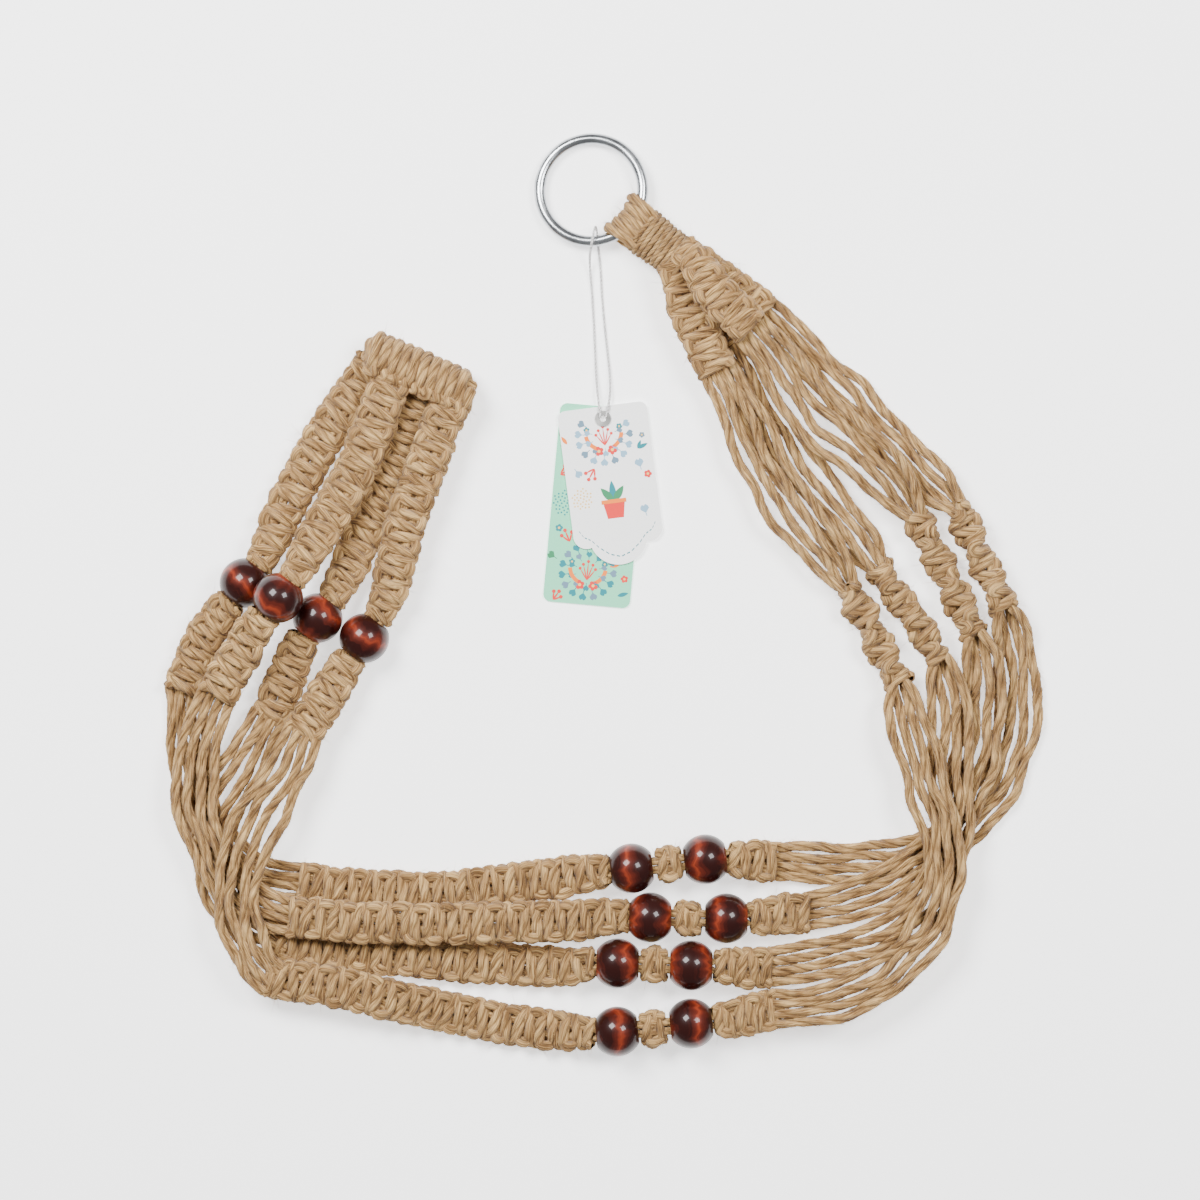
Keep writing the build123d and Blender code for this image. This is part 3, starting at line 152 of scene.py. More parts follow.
NECK_CORDS: dict[int, list[list[Point]]] = {
    1: [
        [(0.0607, 0.1093, 0.0023), (0.0677, 0.1026, 0.0022), (0.0750, 0.0951, 0.0022),
         (0.0861, 0.0827, 0.0022), (0.0970, 0.0736, 0.0022), (0.1069, 0.0626, 0.0022),
         (0.1158, 0.0525, 0.0024), (0.1246, 0.0439, 0.0040), (0.1327, 0.0370, 0.0083),
         (0.1420, 0.0335, 0.0092)],
        [(0.0632, 0.1124, 0.0023), (0.0706, 0.1057, 0.0022), (0.0781, 0.0981, 0.0022),
         (0.0892, 0.0860, 0.0022), (0.1001, 0.0768, 0.0022), (0.1103, 0.0657, 0.0022),
         (0.1191, 0.0556, 0.0024), (0.1277, 0.0472, 0.0040), (0.1357, 0.0401, 0.0041),
         (0.1420, 0.0335, 0.0048)],
        [(0.0656, 0.1156, 0.0023), (0.0734, 0.1087, 0.0022), (0.0811, 0.1011, 0.0022),
         (0.0924, 0.0892, 0.0022), (0.1031, 0.0800, 0.0022), (0.1138, 0.0688, 0.0022),
         (0.1224, 0.0587, 0.0024), (0.1307, 0.0504, 0.0040), (0.1387, 0.0431, 0.0041),
         (0.1452, 0.0361, 0.0048)],
        [(0.0681, 0.1187, 0.0023), (0.0763, 0.1118, 0.0022), (0.0842, 0.1041, 0.0022),
         (0.0955, 0.0925, 0.0022), (0.1062, 0.0832, 0.0022), (0.1171, 0.0718, 0.0022),
         (0.1258, 0.0619, 0.0024), (0.1338, 0.0537, 0.0040), (0.1417, 0.0462, 0.0083),
         (0.1452, 0.0361, 0.0092)],
    ],
    2: [
        [(0.0542, 0.1029, 0.0186), (0.0601, 0.0967, 0.0172), (0.0653, 0.0882, 0.0154),
         (0.0710, 0.0769, 0.0154), (0.0795, 0.0659, 0.0154), (0.0896, 0.0551, 0.0154),
         (0.1006, 0.0479, 0.0154), (0.1096, 0.0416, 0.0142), (0.1168, 0.0342, 0.0127),
         (0.1256, 0.0292, 0.0093)],
        [(0.0570, 0.1058, 0.0186), (0.0632, 0.0994, 0.0172), (0.0693, 0.0911, 0.0154),
         (0.0757, 0.0803, 0.0154), (0.0839, 0.0700, 0.0154), (0.0939, 0.0603, 0.0154),
         (0.1049, 0.0530, 0.0154), (0.1133, 0.0451, 0.0142), (0.1203, 0.0367, 0.0083),
         (0.1256, 0.0292, 0.0051)],
        [(0.0598, 0.1086, 0.0186), (0.0664, 0.1022, 0.0172), (0.0732, 0.0938, 0.0154),
         (0.0800, 0.0834, 0.0154), (0.0884, 0.0742, 0.0154), (0.0976, 0.0647, 0.0154),
         (0.1078, 0.0565, 0.0154), (0.1172, 0.0487, 0.0142), (0.1237, 0.0393, 0.0083),
         (0.1288, 0.0316, 0.0051)],
        [(0.0626, 0.1115, 0.0186), (0.0695, 0.1049, 0.0172), (0.0769, 0.0964, 0.0154),
         (0.0849, 0.0870, 0.0154), (0.0930, 0.0786, 0.0154), (0.1025, 0.0705, 0.0154),
         (0.1120, 0.0614, 0.0154), (0.1204, 0.0516, 0.0142), (0.1272, 0.0418, 0.0127),
         (0.1288, 0.0316, 0.0093)],
    ],
    3: [
        [(0.0460, 0.0968, 0.0059), (0.0510, 0.0888, 0.0065), (0.0550, 0.0785, 0.0066),
         (0.0590, 0.0662, 0.0066), (0.0659, 0.0535, 0.0066), (0.0738, 0.0410, 0.0066),
         (0.0839, 0.0302, 0.0066), (0.0943, 0.0214, 0.0066), (0.1013, 0.0136, 0.0047),
         (0.1099, 0.0096, 0.0048)],
        [(0.0492, 0.0992, 0.0059), (0.0546, 0.0909, 0.0065), (0.0595, 0.0806, 0.0066),
         (0.0640, 0.0686, 0.0066), (0.0701, 0.0561, 0.0066), (0.0787, 0.0449, 0.0066),
         (0.0882, 0.0340, 0.0066), (0.0979, 0.0246, 0.0066), (0.1047, 0.0163, 0.0089),
         (0.1099, 0.0096, 0.0092)],
        [(0.0524, 0.1016, 0.0059), (0.0582, 0.0931, 0.0065), (0.0639, 0.0827, 0.0066),
         (0.0689, 0.0710, 0.0066), (0.0758, 0.0596, 0.0066), (0.0840, 0.0490, 0.0066),
         (0.0921, 0.0375, 0.0066), (0.1016, 0.0277, 0.0066), (0.1081, 0.0189, 0.0089),
         (0.1133, 0.0120, 0.0092)],
        [(0.0556, 0.1040, 0.0059), (0.0618, 0.0952, 0.0065), (0.0683, 0.0848, 0.0066),
         (0.0739, 0.0735, 0.0066), (0.0804, 0.0625, 0.0066), (0.0884, 0.0525, 0.0066),
         (0.0970, 0.0417, 0.0066), (0.1052, 0.0308, 0.0066), (0.1115, 0.0216, 0.0047),
         (0.1133, 0.0120, 0.0048)],
    ],
    4: [
        [(0.0406, 0.0885, 0.0113), (0.0461, 0.0790, 0.0110), (0.0507, 0.0677, 0.0110),
         (0.0549, 0.0558, 0.0110), (0.0597, 0.0433, 0.0110), (0.0668, 0.0314, 0.0110),
         (0.0761, 0.0218, 0.0110), (0.0841, 0.0135, 0.0104), (0.0904, 0.0057, 0.0108),
         (0.0982, 0.0014, 0.0092)],
        [(0.0442, 0.0903, 0.0113), (0.0498, 0.0810, 0.0110), (0.0552, 0.0698, 0.0110),
         (0.0597, 0.0580, 0.0110), (0.0653, 0.0464, 0.0110), (0.0717, 0.0349, 0.0110),
         (0.0806, 0.0254, 0.0110), (0.0878, 0.0163, 0.0104), (0.0939, 0.0080, 0.0064),
         (0.0982, 0.0014, 0.0048)],
        [(0.0478, 0.0921, 0.0113), (0.0534, 0.0830, 0.0110), (0.0594, 0.0718, 0.0110),
         (0.0651, 0.0604, 0.0110), (0.0700, 0.0489, 0.0110), (0.0773, 0.0389, 0.0110),
         (0.0845, 0.0285, 0.0110), (0.0913, 0.0189, 0.0104), (0.0973, 0.0104, 0.0064),
         (0.1018, 0.0034, 0.0048)],
        [(0.0514, 0.0939, 0.0113), (0.0571, 0.0850, 0.0110), (0.0638, 0.0739, 0.0110),
         (0.0698, 0.0625, 0.0110), (0.0759, 0.0519, 0.0110), (0.0813, 0.0417, 0.0110),
         (0.0882, 0.0314, 0.0110), (0.0952, 0.0218, 0.0104), (0.1008, 0.0127, 0.0108),
         (0.1018, 0.0034, 0.0092)],
    ],
}
WAIST_CORDS: dict[int, list[list[Point]]] = {
    1: [
        [(0.1597, -0.0056, 0.0092), (0.1580, -0.0134, 0.0078), (0.1600, -0.0231, 0.0022),
         (0.1607, -0.0360, 0.0022), (0.1600, -0.0485, 0.0022), (0.1584, -0.0607, 0.0022),
         (0.1543, -0.0724, 0.0022), (0.1480, -0.0827, 0.0022), (0.1393, -0.0921, 0.0022),
         (0.1282, -0.0979, 0.0022), (0.1152, -0.1006, 0.0022), (0.1011, -0.1010, 0.0022),
         (0.0865, -0.1012, 0.0028), (0.0763, -0.1011, 0.0036), (0.0676, -0.1008, 0.0042)],
        [(0.1597, -0.0056, 0.0048), (0.1620, -0.0122, 0.0034), (0.1643, -0.0224, 0.0022),
         (0.1657, -0.0357, 0.0022), (0.1656, -0.0490, 0.0022), (0.1630, -0.0621, 0.0022),
         (0.1582, -0.0745, 0.0022), (0.1515, -0.0854, 0.0022), (0.1419, -0.0955, 0.0022),
         (0.1297, -0.1020, 0.0022), (0.1157, -0.1050, 0.0022), (0.1012, -0.1054, 0.0022),
         (0.0864, -0.1055, 0.0028), (0.0761, -0.1052, 0.0036), (0.0676, -0.1048, 0.0042)],
        [(0.1635, -0.0040, 0.0048), (0.1660, -0.0110, 0.0034), (0.1685, -0.0216, 0.0022),
         (0.1705, -0.0355, 0.0022), (0.1708, -0.0494, 0.0022), (0.1677, -0.0634, 0.0022),
         (0.1625, -0.0767, 0.0022), (0.1549, -0.0882, 0.0022), (0.1445, -0.0989, 0.0022),
         (0.1311, -0.1060, 0.0022), (0.1163, -0.1094, 0.0022), (0.1012, -0.1098, 0.0022),
         (0.0864, -0.1097, 0.0028), (0.0759, -0.1090, 0.0036), (0.0676, -0.1088, 0.0042)],
        [(0.1635, -0.0040, 0.0092), (0.1700, -0.0098, 0.0078), (0.1728, -0.0209, 0.0022),
         (0.1752, -0.0352, 0.0022), (0.1758, -0.0499, 0.0022), (0.1727, -0.0649, 0.0022),
         (0.1664, -0.0787, 0.0022), (0.1584, -0.0909, 0.0022), (0.1471, -0.1023, 0.0022),
         (0.1326, -0.1101, 0.0022), (0.1168, -0.1138, 0.0022), (0.1013, -0.1142, 0.0022),
         (0.0863, -0.1140, 0.0028), (0.0757, -0.1131, 0.0036), (0.0676, -0.1128, 0.0042)],
    ],
    2: [
        [(0.1477, -0.0156, 0.0092), (0.1459, -0.0234, 0.0092), (0.1469, -0.0337, 0.0066),
         (0.1456, -0.0461, 0.0066), (0.1439, -0.0589, 0.0066), (0.1411, -0.0722, 0.0066),
         (0.1383, -0.0843, 0.0066), (0.1328, -0.0950, 0.0066), (0.1239, -0.1040, 0.0066),
         (0.1129, -0.1103, 0.0066), (0.1009, -0.1150, 0.0066), (0.0889, -0.1191, 0.0066),
         (0.0805, -0.1212, 0.0066)],
        [(0.1477, -0.0156, 0.0048), (0.1500, -0.0225, 0.0048), (0.1512, -0.0334, 0.0066),
         (0.1507, -0.0465, 0.0066), (0.1484, -0.0598, 0.0066), (0.1459, -0.0735, 0.0066),
         (0.1424, -0.0860, 0.0066), (0.1363, -0.0975, 0.0066), (0.1266, -0.1075, 0.0066),
         (0.1149, -0.1142, 0.0066), (0.1024, -0.1193, 0.0066), (0.0899, -0.1232, 0.0066),
         (0.0807, -0.1252, 0.0066)],
        [(0.1515, -0.0140, 0.0048), (0.1540, -0.0215, 0.0048), (0.1557, -0.0330, 0.0066),
         (0.1563, -0.0470, 0.0066), (0.1541, -0.0610, 0.0066), (0.1504, -0.0746, 0.0066),
         (0.1464, -0.0876, 0.0066), (0.1397, -0.1001, 0.0066), (0.1294, -0.1109, 0.0066),
         (0.1171, -0.1186, 0.0066), (0.1040, -0.1239, 0.0066), (0.0909, -0.1272, 0.0066),
         (0.0809, -0.1292, 0.0066)],
        [(0.1515, -0.0140, 0.0092), (0.1581, -0.0206, 0.0092), (0.1606, -0.0327, 0.0066),
         (0.1612, -0.0475, 0.0066), (0.1587, -0.0619, 0.0066), (0.1552, -0.0759, 0.0066),
         (0.1505, -0.0893, 0.0066), (0.1432, -0.1026, 0.0066), (0.1321, -0.1144, 0.0066),
         (0.1191, -0.1226, 0.0066), (0.1054, -0.1282, 0.0066), (0.0919, -0.1313, 0.0066),
         (0.0811, -0.1332, 0.0066)],
    ],
    3: [
        [(0.1337, -0.0252, 0.0092), (0.1310, -0.0325, 0.0108), (0.1325, -0.0428, 0.0110),
         (0.1327, -0.0554, 0.0110), (0.1326, -0.0693, 0.0110), (0.1337, -0.0829, 0.0110),
         (0.1340, -0.0959, 0.0110), (0.1322, -0.1077, 0.0110), (0.1274, -0.1178, 0.0110),
         (0.1190, -0.1259, 0.0110), (0.1083, -0.1323, 0.0110), (0.0957, -0.1367, 0.0110),
         (0.0831, -0.1401, 0.0106), (0.0740, -0.1419, 0.0102), (0.0660, -0.1428, 0.0100)],
        [(0.1337, -0.0252, 0.0048), (0.1351, -0.0316, 0.0064), (0.1370, -0.0423, 0.0110),
         (0.1378, -0.0553, 0.0110), (0.1375, -0.0692, 0.0110), (0.1382, -0.0828, 0.0110),
         (0.1383, -0.0962, 0.0110), (0.1363, -0.1090, 0.0110), (0.1310, -0.1203, 0.0110),
         (0.1218, -0.1294, 0.0110), (0.1102, -0.1364, 0.0110), (0.0970, -0.1410, 0.0110),
         (0.0840, -0.1443, 0.0106), (0.0745, -0.1460, 0.0102), (0.0660, -0.1468, 0.0100)],
        [(0.1375, -0.0236, 0.0048), (0.1393, -0.0308, 0.0064), (0.1414, -0.0417, 0.0110),
         (0.1429, -0.0551, 0.0110), (0.1425, -0.0692, 0.0110), (0.1426, -0.0828, 0.0110),
         (0.1425, -0.0966, 0.0110), (0.1405, -0.1102, 0.0110), (0.1346, -0.1229, 0.0110),
         (0.1246, -0.1330, 0.0110), (0.1122, -0.1404, 0.0110), (0.0982, -0.1454, 0.0110),
         (0.0848, -0.1485, 0.0106), (0.0751, -0.1500, 0.0102), (0.0660, -0.1508, 0.0100)],
        [(0.1375, -0.0236, 0.0092), (0.1434, -0.0299, 0.0108), (0.1459, -0.0412, 0.0110),
         (0.1475, -0.0550, 0.0110), (0.1475, -0.0691, 0.0110), (0.1473, -0.0827, 0.0110),
         (0.1468, -0.0969, 0.0110), (0.1446, -0.1115, 0.0110), (0.1382, -0.1254, 0.0110),
         (0.1274, -0.1365, 0.0110), (0.1141, -0.1445, 0.0110), (0.0995, -0.1497, 0.0110),
         (0.0857, -0.1527, 0.0106), (0.0756, -0.1541, 0.0102), (0.0660, -0.1548, 0.0100)],
    ],
    4: [
        [(0.1176, -0.0354, 0.0092), (0.1146, -0.0427, 0.0123), (0.1160, -0.0528, 0.0148),
         (0.1192, -0.0642, 0.0154), (0.1230, -0.0770, 0.0154), (0.1275, -0.0897, 0.0154),
         (0.1308, -0.1027, 0.0154), (0.1308, -0.1154, 0.0154), (0.1270, -0.1272, 0.0154),
         (0.1197, -0.1378, 0.0154), (0.1102, -0.1463, 0.0154), (0.0992, -0.1527, 0.0154),
         (0.0874, -0.1575, 0.0146), (0.0775, -0.1587, 0.0130), (0.0681, -0.1592, 0.0119)],
        [(0.1176, -0.0354, 0.0048), (0.1187, -0.0420, 0.0080), (0.1203, -0.0517, 0.0148),
         (0.1239, -0.0627, 0.0154), (0.1280, -0.0755, 0.0154), (0.1318, -0.0886, 0.0154),
         (0.1351, -0.1022, 0.0154), (0.1351, -0.1161, 0.0154), (0.1309, -0.1291, 0.0154),
         (0.1231, -0.1406, 0.0154), (0.1131, -0.1502, 0.0154), (0.1011, -0.1568, 0.0154),
         (0.0883, -0.1616, 0.0146), (0.0778, -0.1628, 0.0130), (0.0683, -0.1632, 0.0119)],
        [(0.1216, -0.0342, 0.0048), (0.1229, -0.0412, 0.0080), (0.1245, -0.0507, 0.0148),
         (0.1281, -0.0613, 0.0154), (0.1323, -0.0742, 0.0154), (0.1362, -0.0874, 0.0154),
         (0.1393, -0.1018, 0.0154), (0.1393, -0.1167, 0.0154), (0.1347, -0.1309, 0.0154),
         (0.1265, -0.1434, 0.0154), (0.1158, -0.1539, 0.0154), (0.1029, -0.1608, 0.0154),
         (0.0893, -0.1656, 0.0146), (0.0782, -0.1668, 0.0130), (0.0685, -0.1672, 0.0119)],
        [(0.1216, -0.0342, 0.0092), (0.1270, -0.0405, 0.0123), (0.1288, -0.0496, 0.0148),
         (0.1331, -0.0597, 0.0154), (0.1370, -0.0726, 0.0154), (0.1405, -0.0863, 0.0154),
         (0.1436, -0.1013, 0.0154), (0.1436, -0.1174, 0.0154), (0.1386, -0.1328, 0.0154),
         (0.1299, -0.1462, 0.0154), (0.1185, -0.1576, 0.0154), (0.1048, -0.1649, 0.0154),
         (0.0902, -0.1697, 0.0146), (0.0785, -0.1709, 0.0130), (0.0687, -0.1712, 0.0119)],
    ],
}
BASKET_CORDS: dict[int, list[list[Point]]] = {
    1: [
        [(-0.1153, -0.1096, 0.0022), (-0.1240, -0.1090, 0.0022), (-0.1339, -0.1067, 0.0022),
         (-0.1419, -0.1027, 0.0022), (-0.1484, -0.0965, 0.0022), (-0.1527, -0.0879, 0.0022),
         (-0.1556, -0.0775, 0.0022), (-0.1575, -0.0671, 0.0022), (-0.1584, -0.0567, 0.0022),
         (-0.1597, -0.0455, 0.0022), (-0.1608, -0.0370, 0.0022)],
        [(-0.1155, -0.1136, 0.0022), (-0.1245, -0.1131, 0.0022), (-0.1353, -0.1108, 0.0022),
         (-0.1444, -0.1062, 0.0022), (-0.1519, -0.0991, 0.0022), (-0.1568, -0.0896, 0.0022),
         (-0.1601, -0.0786, 0.0022), (-0.1620, -0.0677, 0.0022), (-0.1630, -0.0570, 0.0022),
         (-0.1639, -0.0458, 0.0022), (-0.1648, -0.0366, 0.0022)],
        [(-0.1157, -0.1176, 0.0022), (-0.1251, -0.1173, 0.0022), (-0.1367, -0.1148, 0.0022),
         (-0.1468, -0.1098, 0.0022), (-0.1553, -0.1017, 0.0022), (-0.1608, -0.0912, 0.0022),
         (-0.1646, -0.0797, 0.0022), (-0.1666, -0.0683, 0.0022), (-0.1674, -0.0574, 0.0022),
         (-0.1679, -0.0462, 0.0022), (-0.1688, -0.0362, 0.0022)],
        [(-0.1159, -0.1216, 0.0022), (-0.1256, -0.1214, 0.0022), (-0.1381, -0.1189, 0.0022),
         (-0.1493, -0.1133, 0.0022), (-0.1588, -0.1043, 0.0022), (-0.1649, -0.0929, 0.0022),
         (-0.1691, -0.0809, 0.0022), (-0.1713, -0.0689, 0.0022), (-0.1716, -0.0577, 0.0022),
         (-0.1723, -0.0465, 0.0022), (-0.1728, -0.0358, 0.0022)],
    ],
    2: [
        [(-0.1185, -0.1228, 0.0110), (-0.1264, -0.1215, 0.0110), (-0.1343, -0.1179, 0.0110),
         (-0.1411, -0.1122, 0.0110), (-0.1473, -0.1044, 0.0110), (-0.1516, -0.0954, 0.0110),
         (-0.1541, -0.0851, 0.0110), (-0.1551, -0.0750, 0.0110), (-0.1543, -0.0657, 0.0110),
         (-0.1524, -0.0566, 0.0110), (-0.1494, -0.0480, 0.0110), (-0.1466, -0.0407, 0.0113)],
        [(-0.1187, -0.1268, 0.0110), (-0.1275, -0.1256, 0.0110), (-0.1365, -0.1217, 0.0110),
         (-0.1443, -0.1155, 0.0110), (-0.1513, -0.1068, 0.0110), (-0.1559, -0.0969, 0.0110),
         (-0.1586, -0.0860, 0.0110), (-0.1598, -0.0751, 0.0110), (-0.1593, -0.0648, 0.0110),
         (-0.1567, -0.0551, 0.0110), (-0.1533, -0.0464, 0.0110), (-0.1502, -0.0389, 0.0113)],
        [(-0.1189, -0.1308, 0.0110), (-0.1285, -0.1296, 0.0110), (-0.1387, -0.1255, 0.0110),
         (-0.1476, -0.1188, 0.0110), (-0.1551, -0.1091, 0.0110), (-0.1601, -0.0983, 0.0110),
         (-0.1632, -0.0869, 0.0110), (-0.1649, -0.0753, 0.0110), (-0.1641, -0.0640, 0.0110),
         (-0.1609, -0.0537, 0.0110), (-0.1571, -0.0448, 0.0110), (-0.1538, -0.0371, 0.0113)],
        [(-0.1191, -0.1348, 0.0110), (-0.1296, -0.1337, 0.0110), (-0.1409, -0.1293, 0.0110),
         (-0.1509, -0.1222, 0.0110), (-0.1591, -0.1116, 0.0110), (-0.1644, -0.0998, 0.0110),
         (-0.1677, -0.0877, 0.0110), (-0.1694, -0.0754, 0.0110), (-0.1689, -0.0631, 0.0110),
         (-0.1652, -0.0522, 0.0110), (-0.1610, -0.0432, 0.0110), (-0.1574, -0.0353, 0.0113)],
    ],
    3: [
        [(-0.1249, -0.1336, 0.0059), (-0.1312, -0.1318, 0.0064), (-0.1376, -0.1275, 0.0066),
         (-0.1430, -0.1202, 0.0066), (-0.1466, -0.1112, 0.0066), (-0.1481, -0.1018, 0.0066),
         (-0.1468, -0.0924, 0.0066), (-0.1433, -0.0835, 0.0066), (-0.1383, -0.0748, 0.0066),
         (-0.1335, -0.0657, 0.0066), (-0.1296, -0.0573, 0.0062), (-0.1265, -0.0496, 0.0059)],
        [(-0.1251, -0.1376, 0.0059), (-0.1328, -0.1357, 0.0064), (-0.1405, -0.1308, 0.0066),
         (-0.1469, -0.1225, 0.0066), (-0.1510, -0.1126, 0.0066), (-0.1530, -0.1019, 0.0066),
         (-0.1516, -0.0913, 0.0066), (-0.1480, -0.0815, 0.0066), (-0.1428, -0.0722, 0.0066),
         (-0.1376, -0.0632, 0.0066), (-0.1333, -0.0554, 0.0062), (-0.1302, -0.0480, 0.0059)],
        [(-0.1253, -0.1416, 0.0059), (-0.1344, -0.1395, 0.0064), (-0.1435, -0.1340, 0.0066),
         (-0.1507, -0.1247, 0.0066), (-0.1555, -0.1139, 0.0066), (-0.1578, -0.1021, 0.0066),
         (-0.1564, -0.0903, 0.0066), (-0.1531, -0.0792, 0.0066), (-0.1474, -0.0695, 0.0066),
         (-0.1416, -0.0608, 0.0066), (-0.1371, -0.0534, 0.0062), (-0.1338, -0.0464, 0.0059)],
        [(-0.1255, -0.1456, 0.0059), (-0.1360, -0.1434, 0.0064), (-0.1464, -0.1373, 0.0066),
         (-0.1546, -0.1270, 0.0066), (-0.1597, -0.1151, 0.0066), (-0.1622, -0.1022, 0.0066),
         (-0.1616, -0.0891, 0.0066), (-0.1576, -0.0772, 0.0066), (-0.1516, -0.0670, 0.0066),
         (-0.1459, -0.0582, 0.0066), (-0.1408, -0.0515, 0.0062), (-0.1375, -0.0448, 0.0059)],
    ],
    4: [
        [(-0.1256, -0.1488, 0.0142), (-0.1309, -0.1450, 0.0150), (-0.1343, -0.1378, 0.0154),
         (-0.1369, -0.1286, 0.0154), (-0.1375, -0.1188, 0.0154), (-0.1355, -0.1094, 0.0154),
         (-0.1321, -0.1002, 0.0154), (-0.1269, -0.0907, 0.0154), (-0.1217, -0.0807, 0.0154),
         (-0.1172, -0.0715, 0.0154), (-0.1144, -0.0627, 0.0150), (-0.1125, -0.0560, 0.0142)],
        [(-0.1280, -0.1520, 0.0142), (-0.1340, -0.1478, 0.0150), (-0.1384, -0.1395, 0.0154),
         (-0.1414, -0.1295, 0.0154), (-0.1422, -0.1188, 0.0154), (-0.1406, -0.1083, 0.0154),
         (-0.1375, -0.0979, 0.0154), (-0.1317, -0.0880, 0.0154), (-0.1264, -0.0780, 0.0154),
         (-0.1213, -0.0695, 0.0154), (-0.1184, -0.0612, 0.0150), (-0.1162, -0.0544, 0.0142)],
        [(-0.1304, -0.1552, 0.0142), (-0.1372, -0.1506, 0.0150), (-0.1424, -0.1413, 0.0154),
         (-0.1460, -0.1305, 0.0154), (-0.1476, -0.1188, 0.0154), (-0.1462, -0.1070, 0.0154),
         (-0.1429, -0.0956, 0.0154), (-0.1365, -0.0852, 0.0154), (-0.1309, -0.0753, 0.0154),
         (-0.1257, -0.0674, 0.0154), (-0.1224, -0.0596, 0.0150), (-0.1198, -0.0528, 0.0142)],
        [(-0.1328, -0.1584, 0.0142), (-0.1403, -0.1534, 0.0150), (-0.1465, -0.1430, 0.0154),
         (-0.1505, -0.1314, 0.0154), (-0.1523, -0.1188, 0.0154), (-0.1512, -0.1059, 0.0154),
         (-0.1480, -0.0934, 0.0154), (-0.1414, -0.0823, 0.0154), (-0.1352, -0.0728, 0.0154),
         (-0.1300, -0.0653, 0.0154), (-0.1264, -0.0581, 0.0150), (-0.1235, -0.0512, 0.0142)],
    ],
}
TAG_STRING: list[Point] = [
    (0.0003, 0.0709, 0.0029), (-0.0008, 0.0784, 0.0029), (-0.0016, 0.0890, 0.0012),
     (-0.0022, 0.1040, 0.0007), (-0.0030, 0.1190, 0.0007), (-0.0040, 0.1302, 0.0016),
     (-0.0042, 0.1362, 0.0052), (-0.0034, 0.1400, 0.0103), (-0.0026, 0.1444, 0.0113),
     (-0.0019, 0.1478, 0.0078), (-0.0014, 0.1466, 0.0029), (-0.0008, 0.1410, 0.0012),
     (0.0002, 0.1320, 0.0008), (0.0009, 0.1180, 0.0007), (0.0025, 0.1020, 0.0007),
     (0.0042, 0.0870, 0.0012), (0.0040, 0.0776, 0.0029), (0.0021, 0.0709, 0.0029)]


class Slot(Enum):
    """The record's material slots."""

    JUTE = "jute"
    BEAD = "bead"
    RING = "ring_metal"
    STRING = "string"
    CARD_BACK = "card_back"
    CARD_FRONT = "card_front"


class Ink(Enum):
    """Print colours on the cards, as linear red, green and blue."""

    LEAF_GREY = (0.13, 0.22, 0.30)
    SKY = (0.24, 0.42, 0.56)
    ORANGE = (0.88, 0.19, 0.012)
    CORAL = (0.72, 0.028, 0.022)
    TEAL = (0.005, 0.20, 0.24)
    GREEN = (0.025, 0.22, 0.09)
    CREAM = (0.88, 0.55, 0.16)


# ---------------------------------------------------------------- mesh building
@dataclass
class MeshBag:
    """Vertices, four-sided faces and texture coordinates gathered before one mesh is made."""

    points: list[np.ndarray] = field(default_factory=list)
    faces: list[np.ndarray] = field(default_factory=list)
    texture: list[np.ndarray] = field(default_factory=list)
    count: int = 0

    def add_grid(self, grid: np.ndarray, across: np.ndarray, along: np.ndarray) -> None:
        """Add a tube whose rings are the rows of a grid.

        Args:
            grid: Ring points, shaped (rings, sides, 3).
            across: Texture coordinate at each side, one more than the sides.
            along: Texture coordinate at each ring.
        """
        rings, sides, _ = grid.shape
        rows = np.arange(rings - 1)[:, None] * sides
        here = np.arange(sides)[None, :]
        after = (here + 1) % sides
        quads = np.stack([rows + here, rows + after, rows + sides + after, rows + sides + here], axis=-1)
        low_u, high_u = across[:-1][None, :], across[1:][None, :]
        low_v, high_v = along[:-1][:, None], along[1:][:, None]
        flat = np.zeros((rings - 1, sides))
        corners = [(low_u, low_v), (high_u, low_v), (high_u, high_v), (low_u, high_v)]
        texture = np.stack([np.stack([u + flat, v + flat], axis=-1) for u, v in corners], axis=2)
        self.points.append(grid.reshape(-1, 3))
        self.faces.append(quads.reshape(-1, 4) + self.count)
        self.texture.append(texture.reshape(-1, 2))
        self.count += rings * sides

    def build(self, name: str, material: bpy.types.Material) -> bpy.types.Object:
        """Make the object.

        Args:
            name: The piece's name.
            material: Its finish.

        Returns:
            The linked object, shaded smooth.
        """
        points = np.concatenate(self.points)
        faces = np.concatenate(self.faces)
        mesh = bpy.data.meshes.new(name)
        mesh.vertices.add(len(points))
        mesh.vertices.foreach_set("co", points.astype(np.float32).ravel())
        mesh.loops.add(faces.size)
        mesh.loops.foreach_set("vertex_index", faces.astype(np.int32).ravel())
        mesh.polygons.add(len(faces))
        mesh.polygons.foreach_set("loop_start", np.arange(0, faces.size, 4, dtype=np.int32))
        mesh.polygons.foreach_set("loop_total", np.full(len(faces), 4, dtype=np.int32))
        layer = mesh.uv_layers.new(name="UVMap")
        layer.data.foreach_set("uv", np.concatenate(self.texture).astype(np.float32).ravel())
        mesh.polygons.foreach_set("use_smooth", np.ones(len(faces), dtype=bool))
        mesh.update(calc_edges=True)
        mesh.validate()
        mesh.materials.append(material)
        piece = bpy.data.objects.new(name, mesh)
        bpy.context.scene.collection.objects.link(piece)
        return piece


def resampled(path: np.ndarray, step: float) -> np.ndarray:
    """Return the path with its points evenly spaced, about a step apart."""
    runs = np.linalg.norm(np.diff(path, axis=0), axis=1)
    reach = np.concatenate([[0.0], np.cumsum(runs)])
    count = max(4, int(reach[-1] / step) + 1)
    wanted = np.linspace(0.0, reach[-1], count)
    return np.stack([np.interp(wanted, reach, path[:, axis]) for axis in range(3)], axis=1)


